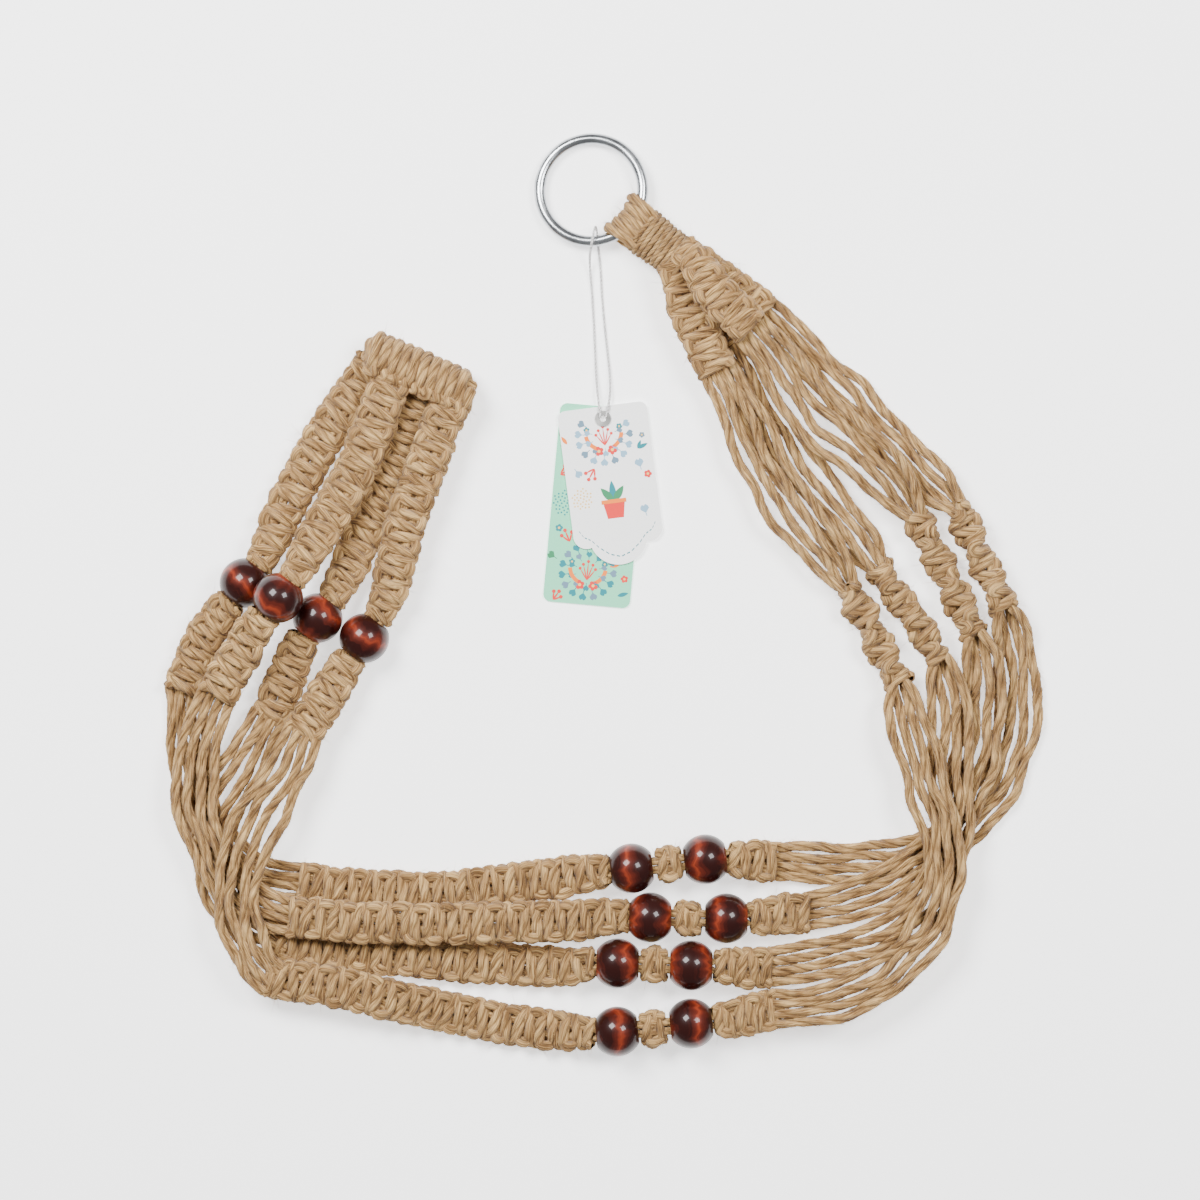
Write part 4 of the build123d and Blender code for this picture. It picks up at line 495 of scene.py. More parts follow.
def smoothed(stations: list[Point], step: float = 0.0012) -> np.ndarray:
    """Return an even, rounded line through a sinnet's places.

    Args:
        stations: The places along its middle.
        step: The spacing of the result, in metres.

    Returns:
        Points shaped (n, 3).
    """
    path = resampled(np.array(stations), step)
    width = 7
    kernel = np.ones(width) / width
    for _ in range(2):
        padded = np.pad(path, ((width // 2, width // 2), (0, 0)), mode="reflect", reflect_type="odd")
        path = np.stack([np.convolve(padded[:, axis], kernel, mode="valid") for axis in range(3)], axis=1)
    return path


def cord_line(name: str, points: list[Point]) -> np.ndarray:
    """Return the smooth line of a cord's NURBS spline through its route's points."""
    curve = bpy.data.curves.new(name, "CURVE")
    curve.dimensions = "3D"
    spline = curve.splines.new("NURBS")
    spline.points.add(len(points) - 1)
    for place, point in zip(spline.points, points):
        place.co = (*point, 1.0)
    spline.order_u = 3
    spline.use_endpoint_u = True
    spline.resolution_u = 12
    holder = bpy.data.objects.new(name, curve)
    bpy.context.scene.collection.objects.link(holder)
    bpy.context.view_layer.update()
    mesh = bpy.data.meshes.new_from_object(holder)
    line = np.array([vertex.co[:] for vertex in mesh.vertices])
    bpy.data.objects.remove(holder)
    bpy.data.curves.remove(curve)
    bpy.data.meshes.remove(mesh)
    return line


def side_frames(path: np.ndarray) -> tuple[np.ndarray, np.ndarray, np.ndarray]:
    """Return the heading and two steady side directions at each point of a path."""
    heading = np.gradient(path, axis=0)
    heading /= np.linalg.norm(heading, axis=1, keepdims=True) + 1e-12
    side = np.empty_like(heading)
    start = np.array([0.0, 0.0, 1.0]) if abs(heading[0][2]) < 0.9 else np.array([1.0, 0.0, 0.0])
    current = start
    for index, direction in enumerate(heading):
        current = current - direction * current.dot(direction)
        current = current / (np.linalg.norm(current) + 1e-12)
        side[index] = current
    return heading, side, np.cross(heading, side)


@dataclass(frozen=True)
class Rope:
    """A laid cord: plies twisted together, with loose fibres standing off its surface."""

    radius: float = 0.00215
    plies: int = 3
    lay: float = 0.031
    groove: float = 0.24
    roughness: float = 0.035
    sides: int = 18
    step: float = 0.0010
    hair_gap: float = 0.0008
    hair_length: float = 0.0065
    hair_radius: float = 0.000065

    def add_to(self, bag: MeshBag, path: np.ndarray, seed: int, fluff: MeshBag | None = None) -> None:
        """Twist the rope along a path and add it to a bag.

        Args:
            bag: Where its faces go.
            path: Points of its middle line.
            seed: Chooses its unevenness and its loose fibres.
            fluff: Where its loose fibres go, if not into the same bag.
        """
        rng = np.random.default_rng(seed)
        path = resampled(path, self.step)
        heading, side, other = side_frames(path)
        count = len(path)
        reach = np.arange(count) * np.linalg.norm(path[1] - path[0])
        around = np.arange(self.sides) * 2 * math.pi / self.sides
        lobes = np.abs(np.cos(around * self.plies / 2)) ** 0.8
        profile = 1 - self.groove + self.groove * lobes
        knots = max(3, count // 9)
        wave = np.interp(reach, np.linspace(0, reach[-1], knots), rng.normal(0, 0.04, knots))
        size = self.radius * (1 + wave)
        size[0] = size[-1] = self.radius * 0.45
        drift = np.interp(reach, np.linspace(0, reach[-1], knots), rng.normal(0, 0.45, knots))
        twist = reach / (self.lay * rng.uniform(0.8, 1.3)) * 2 * math.pi + drift
        turn = around[None, :] + twist[:, None] + rng.uniform(0, 6)
        spread = profile[None, :] * size[:, None] * (1 + rng.normal(0, self.roughness, (count, self.sides)))
        ring = side[:, None, :] * np.cos(turn)[..., None] + other[:, None, :] * np.sin(turn)[..., None]
        grid = path[:, None, :] + ring * spread[..., None]
        grid[..., 2] = np.maximum(grid[..., 2], 0.0001)
        offset = rng.uniform(0, 40)
        bag.add_grid(grid, np.linspace(0, 1, self.sides + 1), reach * 100 + offset)
        self.add_hairs(fluff or bag, path, heading, side, other, rng)

    def add_hairs(
        self,
        bag: MeshBag,
        path: np.ndarray,
        heading: np.ndarray,
        side: np.ndarray,
        other: np.ndarray,
        rng: np.random.Generator,
    ) -> None:
        """Add the loose fibres: thin curved strands that leave the surface at a low angle."""
        if self.hair_gap <= 0:
            return
        length = len(path) * self.step
        three = np.arange(3) * 2 * math.pi / 3
        for _ in range(int(length / self.hair_gap)):
            root = int(rng.integers(1, len(path) - 1))
            angle = rng.uniform(0, 2 * math.pi)
            outward = side[root] * math.cos(angle) + other[root] * math.sin(angle)
            if path[root][2] + outward[2] * 0.004 < 0.0008:
                continue
            along = heading[root] * rng.choice([-1.0, 1.0])
            sideways = np.cross(along, outward) * rng.normal(0, 0.5)
            reach = self.hair_length * rng.uniform(0.35, 1.25)
            times = np.linspace(0, 1, 5)[:, None]
            lift = outward * (0.25 + 0.55 * rng.random()) + sideways
            line = path[root] + outward * self.radius * 0.8 + (along * times + lift * times**1.5) * reach * 0.7
            line[:, 2] = np.maximum(line[:, 2], 0.0002)
            thickness = self.hair_radius * np.array([1.2, 1.0, 0.8, 0.6, 0.25])
            first = np.cross(along, outward)
            second = np.cross(first, along)
            circle = first * np.cos(three)[:, None] + second * np.sin(three)[:, None]
            grid = line[:, None, :] + circle[None, :, :] * thickness[:, None, None]
            bag.add_grid(grid, np.full(4, 0.3), np.linspace(0, 0.3, 5) + rng.uniform(0, 40))


LOOSE_ROPE = Rope()
KNOT_ROPE = Rope(radius=0.00235, lay=0.024, sides=15, step=0.0009, hair_gap=0.0012)
FILLER_ROPE = Rope(radius=0.0026, sides=9, step=0.0022, hair_gap=0.0)
WRAP_ROPE = Rope(radius=0.00120, plies=2, lay=0.011, sides=8, step=0.0008, hair_gap=0.0022, hair_length=0.004)
STRING_ROPE = Rope(
    radius=0.00056, plies=2, lay=0.0030, groove=0.28, sides=8, step=0.0005, hair_gap=0.0,
)


# ---------------------------------------------------------------- finishes
@dataclass(frozen=True)
class Shader:
    """A new material with its principled shader, and helpers to wire nodes into it."""

    material: bpy.types.Material

    @classmethod
    def named(cls, name: str) -> Shader:
        """Return a fresh material of that name, ready for wiring."""
        material = bpy.data.materials.new(name)
        material.use_nodes = True
        return cls(material)

    @property
    def surface(self) -> bpy.types.Node:
        """The principled shader."""
        return self.material.node_tree.nodes["Principled BSDF"]

    def node(self, kind: str, **settings: object) -> bpy.types.Node:
        """Add a node and set its properties."""
        made = self.material.node_tree.nodes.new(kind)
        for key, value in settings.items():
            setattr(made, key, value)
        return made

    def join(self, source: bpy.types.NodeSocket, target: bpy.types.NodeSocket) -> None:
        """Link two sockets."""
        self.material.node_tree.links.new(source, target)

    def maths(self, operation: str, *terms: object) -> bpy.types.NodeSocket:
        """Add a math node over numbers or sockets and return its result."""
        made = self.node("ShaderNodeMath", operation=operation)
        for index, term in enumerate(terms):
            if isinstance(term, bpy.types.NodeSocket):
                self.join(term, made.inputs[index])
            else:
                made.inputs[index].default_value = term
        return made.outputs[0]

    def noise(
        self, place: bpy.types.NodeSocket, scale: float, detail: float = 3.0, roughness: float = 0.55
    ) -> bpy.types.NodeSocket:
        """Add a noise texture at a place and return its factor."""
        made = self.node("ShaderNodeTexNoise")
        made.inputs["Scale"].default_value = scale
        made.inputs["Detail"].default_value = detail
        made.inputs["Roughness"].default_value = roughness
        self.join(place, made.inputs["Vector"])
        return made.outputs["Fac"]

    def ramp(
        self, factor: bpy.types.NodeSocket, stops: list[tuple[float, tuple[float, float, float]]]
    ) -> bpy.types.NodeSocket:
        """Add a colour ramp with the given stops and return its colour."""
        made = self.node("ShaderNodeValToRGB")
        while len(made.color_ramp.elements) < len(stops):
            made.color_ramp.elements.new(0.5)
        for element, (place, colour) in zip(made.color_ramp.elements, stops):
            element.position = place
            element.color = (*colour, 1.0)
        self.join(factor, made.inputs["Fac"])
        return made.outputs["Color"]

    def mix(
        self, factor: object, first: bpy.types.NodeSocket, second: bpy.types.NodeSocket, kind: str = "MIX"
    ) -> bpy.types.NodeSocket:
        """Blend two colours and return the result."""
        made = self.node("ShaderNodeMix", data_type="RGBA", blend_type=kind)
        if isinstance(factor, bpy.types.NodeSocket):
            self.join(factor, made.inputs["Factor"])
        else:
            made.inputs["Factor"].default_value = factor
        self.join(first, made.inputs["A"])
        self.join(second, made.inputs["B"])
        return made.outputs["Result"]

    def bump(self, height: bpy.types.NodeSocket, strength: float, distance: float) -> None:
        """Drive the surface's normal from a height."""
        made = self.node("ShaderNodeBump")
        made.inputs["Strength"].default_value = strength
        made.inputs["Distance"].default_value = distance
        self.join(height, made.inputs["Height"])
        self.join(made.outputs["Normal"], self.surface.inputs["Normal"])

    def set(self, **values: float) -> None:
        """Set plain numbers on the surface, with underscores for spaces in the socket names."""
        for key, value in values.items():
            self.surface.inputs[key.replace("_", " ")].default_value = value

    def place(self) -> bpy.types.NodeSocket:
        """Return the object coordinate."""
        return self.node("ShaderNodeTexCoord").outputs["Object"]

    def texture_place(self) -> tuple[bpy.types.NodeSocket, bpy.types.NodeSocket]:
        """Return the two texture coordinates of a rope or a bead: around and along."""
        split = self.node("ShaderNodeSeparateXYZ")
        self.join(self.node("ShaderNodeTexCoord").outputs["UV"], split.inputs[0])
        return split.outputs[0], split.outputs[1]


@dataclass(frozen=True)
class FibreFinish:
    """Twisted plant fibre: fine strands along the cord, painted shade darkening the hollows between plies,
    uneven colour.
    """

    name: str
    dark: tuple[float, float, float]
    middle: tuple[float, float, float]
    light: tuple[float, float, float]
    plies: int = 3
    turns_per_centimetre: float = 0.22
    sheen: float = 0.12
    # painted shade: how dark the colour is painted in the hollows between plies
    painted_groove_shade: float = 0.42

    def make(self) -> bpy.types.Material:
        """Return the finish as a material."""
        shader = Shader.named(self.name)
        around, along = shader.texture_place()
        straight = shader.maths("ADD", around, shader.maths("MULTIPLY", along, self.turns_per_centimetre))
        fibre_place = shader.node("ShaderNodeCombineXYZ")
        shader.join(shader.maths("MULTIPLY", straight, 42.0), fibre_place.inputs[0])
        shader.join(shader.maths("MULTIPLY", along, 0.9), fibre_place.inputs[1])
        fibres = shader.noise(fibre_place.outputs[0], 1.0, 4.0, 0.72)
        patch_place = shader.node("ShaderNodeCombineXYZ")
        shader.join(along, patch_place.inputs[1])
        patches = shader.noise(patch_place.outputs[0], 0.9, 2.0)
        ply_angle = shader.maths("MULTIPLY", around, math.pi * self.plies)
        ply = shader.maths("ABSOLUTE", shader.maths("COSINE", ply_angle))
        streaks = shader.maths("MULTIPLY", fibres, 1.35)
        tone = shader.maths("ADD", streaks, shader.maths("MULTIPLY", patches, 0.55))
        tone = shader.maths("ADD", tone, -0.45)
        colour = shader.ramp(tone, [(0.24, self.dark), (0.46, self.middle), (0.70, self.light)])
        # painted shade: the colour is multiplied darker towards the hollows between the plies, where shade
        # falls on the twisted cord
        groove = (self.painted_groove_shade, self.painted_groove_shade * 0.92, self.painted_groove_shade * 0.84)
        painted_groove_tint = shader.ramp(ply, [(0.0, groove), (0.55, (1.0, 1.0, 1.0))])
        shader.join(shader.mix(1.0, colour, painted_groove_tint, "MULTIPLY"), shader.surface.inputs["Base Color"])
        shader.bump(shader.maths("ADD", fibres, shader.maths("MULTIPLY", ply, 0.6)), 0.9, 0.0006)
        shader.set(Roughness=0.86, Specular_IOR_Level=0.25, Sheen_Weight=self.sheen, Sheen_Roughness=0.45)
        return shader.material


@dataclass(frozen=True)
class StainedWood:
    """Dark red-brown wood under gloss varnish, with a brighter figure across the middle of the bead."""

    name: str = "stained_wood"
    dark: tuple[float, float, float] = (0.018, 0.0030, 0.0022)
    middle: tuple[float, float, float] = (0.082, 0.0115, 0.0062)
    bright: tuple[float, float, float] = (0.30, 0.042, 0.014)

    def make(self) -> bpy.types.Material:
        """Return the finish as a material."""
        shader = Shader.named(self.name)
        around, along = shader.texture_place()
        angle = shader.maths("MULTIPLY", around, 2 * math.pi)
        circle = shader.node("ShaderNodeCombineXYZ")
        shader.join(shader.maths("COSINE", angle), circle.inputs[0])
        shader.join(shader.maths("SINE", angle), circle.inputs[1])
        shader.join(shader.maths("MULTIPLY", along, 0.35), circle.inputs[2])
        drift = shader.noise(circle.outputs[0], 1.3, 2.0)
        level = shader.maths("ADD", along, shader.maths("MULTIPLY", shader.maths("ADD", drift, -0.5), 1.1))
        lines_place = shader.node("ShaderNodeCombineXYZ")
        shader.join(shader.maths("MULTIPLY", level, 9.0), lines_place.inputs[2])
        shader.join(shader.maths("COSINE", angle), lines_place.inputs[0])
        grain = shader.noise(lines_place.outputs[0], 1.0, 5.0, 0.7)
        wave = shader.maths("ABSOLUTE", shader.maths("SINE", shader.maths("MULTIPLY", level, 2.4)))
        band = shader.maths("MULTIPLY", shader.maths("SUBTRACT", 1.0, wave), 0.55)
        figure = shader.maths("ADD", band, shader.maths("MULTIPLY", grain, 0.55))
        colour = shader.ramp(figure, [(0.34, self.dark), (0.66, self.middle), (0.98, self.bright)])
        shader.join(colour, shader.surface.inputs["Base Color"])
        shader.bump(grain, 0.06, 0.0002)
        shader.set(Roughness=0.35, Coat_Weight=0.6, Coat_Roughness=0.04, Coat_IOR=1.36, IOR=1.2)
        return shader.material


@dataclass(frozen=True)
class PlatedSteel:
    """Zinc-plated steel wire, softly scratched."""

    name: str
    tint: tuple[float, float, float]
    roughness: float = 0.24

    def make(self) -> bpy.types.Material:
        """Return the finish as a material."""
        shader = Shader.named(self.name)
        cloud = shader.noise(shader.place(), 140.0, 4.0)
        low = tuple(part * 0.62 for part in self.tint)
        shader.join(shader.ramp(cloud, [(0.3, low), (0.7, self.tint)]), shader.surface.inputs["Base Color"])
        rough = shader.maths("ADD", shader.maths("MULTIPLY", cloud, 0.22), self.roughness - 0.1)
        shader.join(rough, shader.surface.inputs["Roughness"])
        shader.bump(shader.noise(shader.place(), 900.0, 2.0), 0.08, 0.0001)
        shader.set(Metallic=1.0)
        return shader.material


@dataclass(frozen=True)
class PrintedCard:
    """Uncoated card or an ink laid on it: an even colour broken by paper fibre."""

    name: str
    colour: tuple[float, float, float]

    def make(self) -> bpy.types.Material:
        """Return the finish as a material."""
        shader = Shader.named(self.name)
        fibre = shader.noise(shader.place(), 1400.0, 4.0, 0.7)
        low = tuple(part * 0.93 for part in self.colour)
        shader.join(shader.ramp(fibre, [(0.25, low), (0.75, self.colour)]), shader.surface.inputs["Base Color"])
        shader.bump(fibre, 0.12, 0.0001)
        shader.set(Roughness=0.62, Specular_IOR_Level=0.35)
        return shader.material


@dataclass
class Finishes:
    """Every finish of the planter, made once."""

    jute: bpy.types.Material
    string: bpy.types.Material
    wood: bpy.types.Material
    ring: bpy.types.Material
    eyelet: bpy.types.Material
    card_back: bpy.types.Material
    card_front: bpy.types.Material
    inks: dict[Ink, bpy.types.Material]

    @classmethod
    def make(cls) -> Finishes:
        """Return all the finishes."""
        return cls(
            jute=FibreFinish(
                "jute_fibre",
                dark=(0.042, 0.017, 0.005),
                middle=(0.275, 0.147, 0.051),
                light=(0.69, 0.445, 0.182),
            ).make(),
            string=FibreFinish(
                "cotton_string",
                dark=(0.78, 0.78, 0.78),
                middle=(0.92, 0.92, 0.92),
                light=(0.98, 0.98, 0.98),
                plies=2,
                turns_per_centimetre=3.3,
                sheen=0.1,
                # painted shade: the string's colour is darkened between its two plies
                painted_groove_shade=0.6,
            ).make(),
            wood=StainedWood().make(),
            ring=PlatedSteel("zinc_plate", (0.50, 0.52, 0.54)).make(),
            eyelet=PlatedSteel("eyelet_nickel", (0.80, 0.80, 0.77)).make(),
            card_back=PrintedCard("mint_card", (0.21, 0.70, 0.43)).make(),
            card_front=PrintedCard("white_card", (0.97, 0.97, 0.96)).make(),
            inks={ink: PrintedCard(f"ink_{ink.name.lower()}", ink.value).make() for ink in Ink},
        )


def settle(piece: bpy.types.Object, body: str, slot: Slot, *nodes: str) -> None:
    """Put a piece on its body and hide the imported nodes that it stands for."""
    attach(piece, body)
    if nodes:
        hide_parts(*nodes)
    LOG.info("%s on %s", piece.name, body)


# ---------------------------------------------------------------- cords and knots
@dataclass
class LooseCords:
    """The loose cords of each leg, four to a stretch, each a rope on its own smooth route."""

    stretch: str
    routes: dict[int, list[list[Point]]]
    declared_limit: int
    diameter: float = 0.0038
    sway: float = 0.0012
    sway_length: float = 0.046
    path_step: float = 0.0015
    long_wave: float = 0.65
    short_wave: float = 0.45
    hold: float = 0.6

    def slackened(self, line: np.ndarray, rng: np.random.Generator) -> np.ndarray:
        """Return a cord's line with a slack, uneven sway between its held ends."""
        path = resampled(line, self.path_step)
        share = np.linspace(0, 1, len(path))
        waves = len(path) * self.path_step / self.sway_length * rng.uniform(0.8, 1.2)
        bend = self.long_wave * np.sin(2 * math.pi * waves * share + rng.uniform(0, 6))
        bend += self.short_wave * np.sin(3.3 * math.pi * waves * share + rng.uniform(0, 6))
        heading = np.gradient(path, axis=0)
        across = np.cross([0.0, 0.0, 1.0], heading)
        across /= np.linalg.norm(across, axis=1, keepdims=True)
        return path + across * (bend * np.sin(math.pi * share) ** self.hold * self.sway)[:, None]

    def build(self, finish: bpy.types.Material, declared: int) -> int:
        """Make every cord of the stretch.

        Args:
            finish: The cord's material.
            declared: A running count of cords, carried from one stretch to the next.

        Returns:
            The count, raised by one for each cord made while under the limit.
        """
        for leg, routes in self.routes.items():
            fluff = MeshBag()
            for number, points in enumerate(routes, start=1):
                name = f"{self.stretch}_cord_{leg}_{number}"
                seed = leg * 40 + number + len(self.stretch) * 7
                line = self.slackened(cord_line(name, points), np.random.default_rng(seed))
                bag = MeshBag()
                LOOSE_ROPE.add_to(bag, line, seed, fluff)
                piece = bag.build(name, finish)
                settle(piece, "macrame", Slot.JUTE, f"{self.stretch}_cords_{leg}")
                if declared < self.declared_limit:
                    declared += 1
            settle(fluff.build(f"{self.stretch}_fibres_{leg}", finish), "macrame", Slot.JUTE)
        return declared


@dataclass
class Sinnet:
    """A band of square knots: one cord crosses in front, one behind, and both turn at the edges.

    With twist_length set, the band turns about its own line, as a spiral of half knots does.
    """

    name: str
    line: np.ndarray
    half_width: float = 0.0064
    half_knot: float = 0.0048
    front_height: float = 0.0027
    back_depth: float = 0.0017
    sharpness: float = 2.9
    twist_length: float = 0.0
    overhang: float = 0.0012
    end_overhang: float = 0.0012
    widths: tuple[float, ...] = (1.0, 1.0)
    filler_gap: float = 0.0023
    seed: int = 1
    path_step: float = 0.0006
    edge_power: float = 3.2
    front_dip: float = 0.0007
    back_rise: float = 0.0023
    height_jitter: float = 0.0002
    width_jitter: float = 0.0003
    pitch_jitter: float = 0.0004

    def build(self, finish: bpy.types.Material, *nodes: str) -> None:
        """Tie the sinnet and settle it on the macrame body."""
        heading = np.gradient(self.line, axis=0)
        heading /= np.linalg.norm(heading, axis=1, keepdims=True)
        line = np.concatenate(
            [
                [self.line[0] - heading[0] * self.overhang],
                self.line,
                [self.line[-1] + heading[-1] * self.end_overhang],
            ]
        )
        line = resampled(line, self.path_step)
        heading = np.gradient(line, axis=0)
        heading /= np.linalg.norm(heading, axis=1, keepdims=True)
        across = np.cross([0.0, 0.0, 1.0], heading)
        across /= np.linalg.norm(across, axis=1, keepdims=True)
        up = np.cross(heading, across)
        reach = np.arange(len(line)) * self.path_step
        total = reach[-1]
        knots = max(2, round(total / self.half_knot))
        phase = reach / total * knots * math.pi
        rng = np.random.default_rng(self.seed)
        jitter = np.interp(reach, np.linspace(0, total, knots * 2 + 2), rng.normal(0, 1, knots * 2 + 2))
        width = np.interp(reach / total, np.linspace(0, 1, len(self.widths)), self.widths)
        if self.twist_length > 0:
            turn = reach / self.twist_length * 2 * math.pi + self.seed
            across, up = (
                across * np.cos(turn)[:, None] + up * np.sin(turn)[:, None],
                up * np.cos(turn)[:, None] - across * np.sin(turn)[:, None],
            )
        swing = np.tanh(self.sharpness * np.cos(phase)) / math.tanh(self.sharpness)
        edge = np.abs(swing) ** self.edge_power
        front = self.front_height * (1 - edge) - self.front_dip * edge + jitter * self.height_jitter
        back = -self.back_depth * (1 - edge) + self.back_rise * edge
        bag = MeshBag()
        for side, lift, number in ((-swing, front, 0), (swing, back, 1)):
            reach_out = side * self.half_width * width + jitter * self.width_jitter
            path = line + across * reach_out[:, None] + up * (lift * np.minimum(width * 1.1, 1.0))[:, None]
            path = path + heading * (jitter * self.pitch_jitter)[:, None]
            KNOT_ROPE.add_to(bag, path, self.seed * 10 + number)
        for number, offset in enumerate((-self.filler_gap, self.filler_gap)):
            filler = line + across * offset
            FILLER_ROPE.add_to(bag, filler, self.seed * 10 + 5 + number)
        piece = bag.build(self.name, finish)
        settle(piece, "macrame", Slot.JUTE, *nodes)


def straight_line(start: Vector, end: Vector) -> np.ndarray:
    """Return closely spaced points from one place to another."""
    return np.linspace(np.array(start[:]), np.array(end[:]), 40)


@dataclass
class Macrame:
    """Every knotted and wrapped part of the cord work."""

    finish: bpy.types.Material
    ring_joint: dict[str, object]
    spiral_ends: tuple[tuple[int, Point, Point], ...] = (
        (1, (0.1436, 0.0348, 0.0070), (0.1616, -0.0048, 0.0070)),
        (2, (0.1272, 0.0304, 0.0070), (0.1496, -0.0148, 0.0070)),
        (3, (0.1116, 0.0108, 0.0070), (0.1356, -0.0244, 0.0070)),
        (4, (0.1000, 0.0024, 0.0070), (0.1196, -0.0348, 0.0070)),
    )
    wrap_rows: tuple[tuple[float, float, float, float], ...] = (
        (0.0052, 0.0200, 0.0120, 0.0067),
        (0.0088, 0.0200, 0.0128, 0.0069),
        (0.0159, 0.0188, 0.0154, 0.0082),
        (0.0285, 0.0192, 0.0182, 0.0101),
    )
    base_knot_ends: tuple[Point, Point] = ((-0.0924, 0.0980, 0.0092), (-0.0496, 0.0796, 0.0092))
    base_knot_radius: float = 0.0070
    base_knot_turns: float = 10.3
    base_knot_squareness: float = 2.5
    wrap_squareness: float = 2.6
    wrap_pitch: float = 1.72
    core_reach: float = 0.0098
    core_offset: float = 0.0017
    fold_count: int = 5
    fold_pitch: float = 0.00376
    fold_gap: float = 0.0021
    fold_blend: tuple[float, float] = (0.0030, 0.0085)
    ring_radius: float = 0.0207
    wire_radius: float = 0.0023

    def neck_frame(self) -> tuple[np.ndarray, np.ndarray, np.ndarray]:
        """Return the ring wire's middle at the neck, the way out along the neck, and the way across."""
        place = np.array(self.ring_joint["pos_m"])
        across = np.array(self.ring_joint["axis"])
        outward = np.cross(across, [0.0, 0.0, 1.0])
        return place, outward, across

    def build_sinnets(self) -> None:
        """Tie the neck, lead, long, short and basket sinnets."""
        for seed, (name, stations) in enumerate(SINNET_LINES.items(), start=1):
            sinnet = Sinnet(name + "_knots", smoothed(stations), seed=seed)
            if name.startswith("neck"):
                sinnet.widths = (0.62, 0.80, 0.98, 1.0, 1.0)
            if name.startswith("basket"):
                sinnet.widths = (0.62, 0.95, 1.0, 1.0, 1.0, 0.95)
            if name.startswith("short"):
                sinnet.widths = (1.0, 1.0, 0.75)
            if name.startswith(("lead", "long")):
                sinnet.widths = (0.72,) + (1.0,) * (len(stations) - 1)
                sinnet.overhang = 0.0004
            if name.startswith("long"):
                sinnet.end_overhang = 0.0034
            sinnet.build(self.finish, name)

    def build_spirals(self) -> None:
        """Tie the four spirals of half knots."""
        for leg, start, end in self.spiral_ends:
            line = straight_line(Vector(start), Vector(end))
            Sinnet(
                f"spiral_{leg}_knots", line, half_width=0.0050, half_knot=0.0046, front_height=0.0031,
                back_depth=0.0029, sharpness=1.5, twist_length=0.034, overhang=0.0018, seed=60 + leg,
            ).build(self.finish, f"spiral_{leg}")

    def build_bead_cores(self, beads: Beads) -> None:
        """Tie the knot between each pair of band beads, and run the filler cords through every bead."""
        for leg in (1, 2, 3, 4):
            left, right = beads.centre(f"left_bead_{leg}"), beads.centre(f"right_bead_{leg}")
            axis = (right - left).normalized()
            start, end = left + axis * self.core_reach, right - axis * self.core_reach
            knot = Sinnet(
                f"mid_knot_{leg}_knots", straight_line(start, end), half_width=0.0056, half_knot=0.0043,
                overhang=0.0, end_overhang=0.0, widths=(0.8, 1.0, 0.8), seed=80 + leg,
            )
            knot.build(self.finish, f"mid_knot_{leg}")
            reach = axis * self.core_reach
            self.build_core(f"band_core_{leg}", left - reach, right + reach, axis, f"mid_knot_{leg}")
            centre = beads.centre(f"basket_bead_{leg}")
            axis = beads.axis(f"basket_bead_{leg}")
            reach = axis * self.core_reach
            node = f"basket_sinnet_{leg}"
            self.build_core(f"basket_core_{leg}", centre - reach, centre + reach, axis, node)

    def build_core(self, name: str, start: Vector, end: Vector, axis: Vector, node: str) -> None:
        """Run four cords side by side through a bead's hole."""
        across = np.array(Vector((0, 0, 1)).cross(axis).normalized()[:])
        bag = MeshBag()
        rope = Rope(radius=0.0018, sides=9, step=0.0015, hair_gap=0.0)
        for number, (side, lift) in enumerate(((-1, -1), (1, -1), (-1, 1), (1, 1))):
            offset = across * side * self.core_offset + np.array([0.0, 0.0, 1.0]) * lift * self.core_offset
            rope.add_to(bag, straight_line(start, end) + offset, seed=number + 300)
        settle(bag.build(name, self.finish), "macrame", Slot.JUTE, node)

    def build_neck(self) -> None:
        """Fold the cords over the ring and wind the wrap below it."""
        place, outward, across = self.neck_frame()
        up = np.array([0.0, 0.0, 1.0])
        folds = MeshBag()
        reach = self.wire_radius + self.fold_gap
        for number in range(self.fold_count):
            sideways = (number - (self.fold_count - 1) / 2) * self.fold_pitch
            back = abs(sideways) ** 2 / (2 * self.ring_radius)
            arc = np.linspace(math.pi * 0.5, math.pi * 1.5, 24)
            rows = [(0.0125, 0.0006), (0.0080, 0.0022), (0.0034, reach)]
            rows += [(math.cos(a) * reach, math.sin(a) * reach) for a in arc]
            rows += [(0.0034, -reach), (0.0080, -0.0022), (0.0125, -0.0006)]
            path = []
            for out, lift in rows:
                beside = across * sideways * (1 - max(out, 0) * 12)
                path.append(place + outward * (out - back * (out < 0.004)) + up * lift + beside)
            Rope(radius=0.00222).add_to(folds, resampled(np.array(path), 0.001), 400 + number)
        piece = folds.build("neck_folds", self.finish)
        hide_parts("ring_loops")
        start, end = (place + outward * reach for reach in self.fold_blend)
        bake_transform(piece)
        LOG.info("neck_folds between ring_loops and macrame")
        wrap = MeshBag()
        first, last = self.wrap_rows[0][0], self.wrap_rows[-1][0]
        turns = (last - first) / (WRAP_ROPE.radius * self.wrap_pitch)
        power = self.wrap_squareness
        rows = np.array(self.wrap_rows)
        path = []
        for share in np.linspace(0, 1, int(turns * 44)):
            along = first + (last - first) * share
            width, height, middle = (np.interp(along, rows[:, 0], rows[:, column]) for column in (1, 2, 3))
            angle = share * turns * 2 * math.pi
            flat = (abs(math.cos(angle)) ** power + abs(math.sin(angle)) ** power) ** (-1 / power)
            side = across * math.cos(angle) * flat * (width / 2 - WRAP_ROPE.radius)
            lift = up * math.sin(angle) * flat * (height / 2 - WRAP_ROPE.radius)
            uneven = 0.0003 * math.sin(share * 61) * math.cos(angle * 0.5 + share * 23)
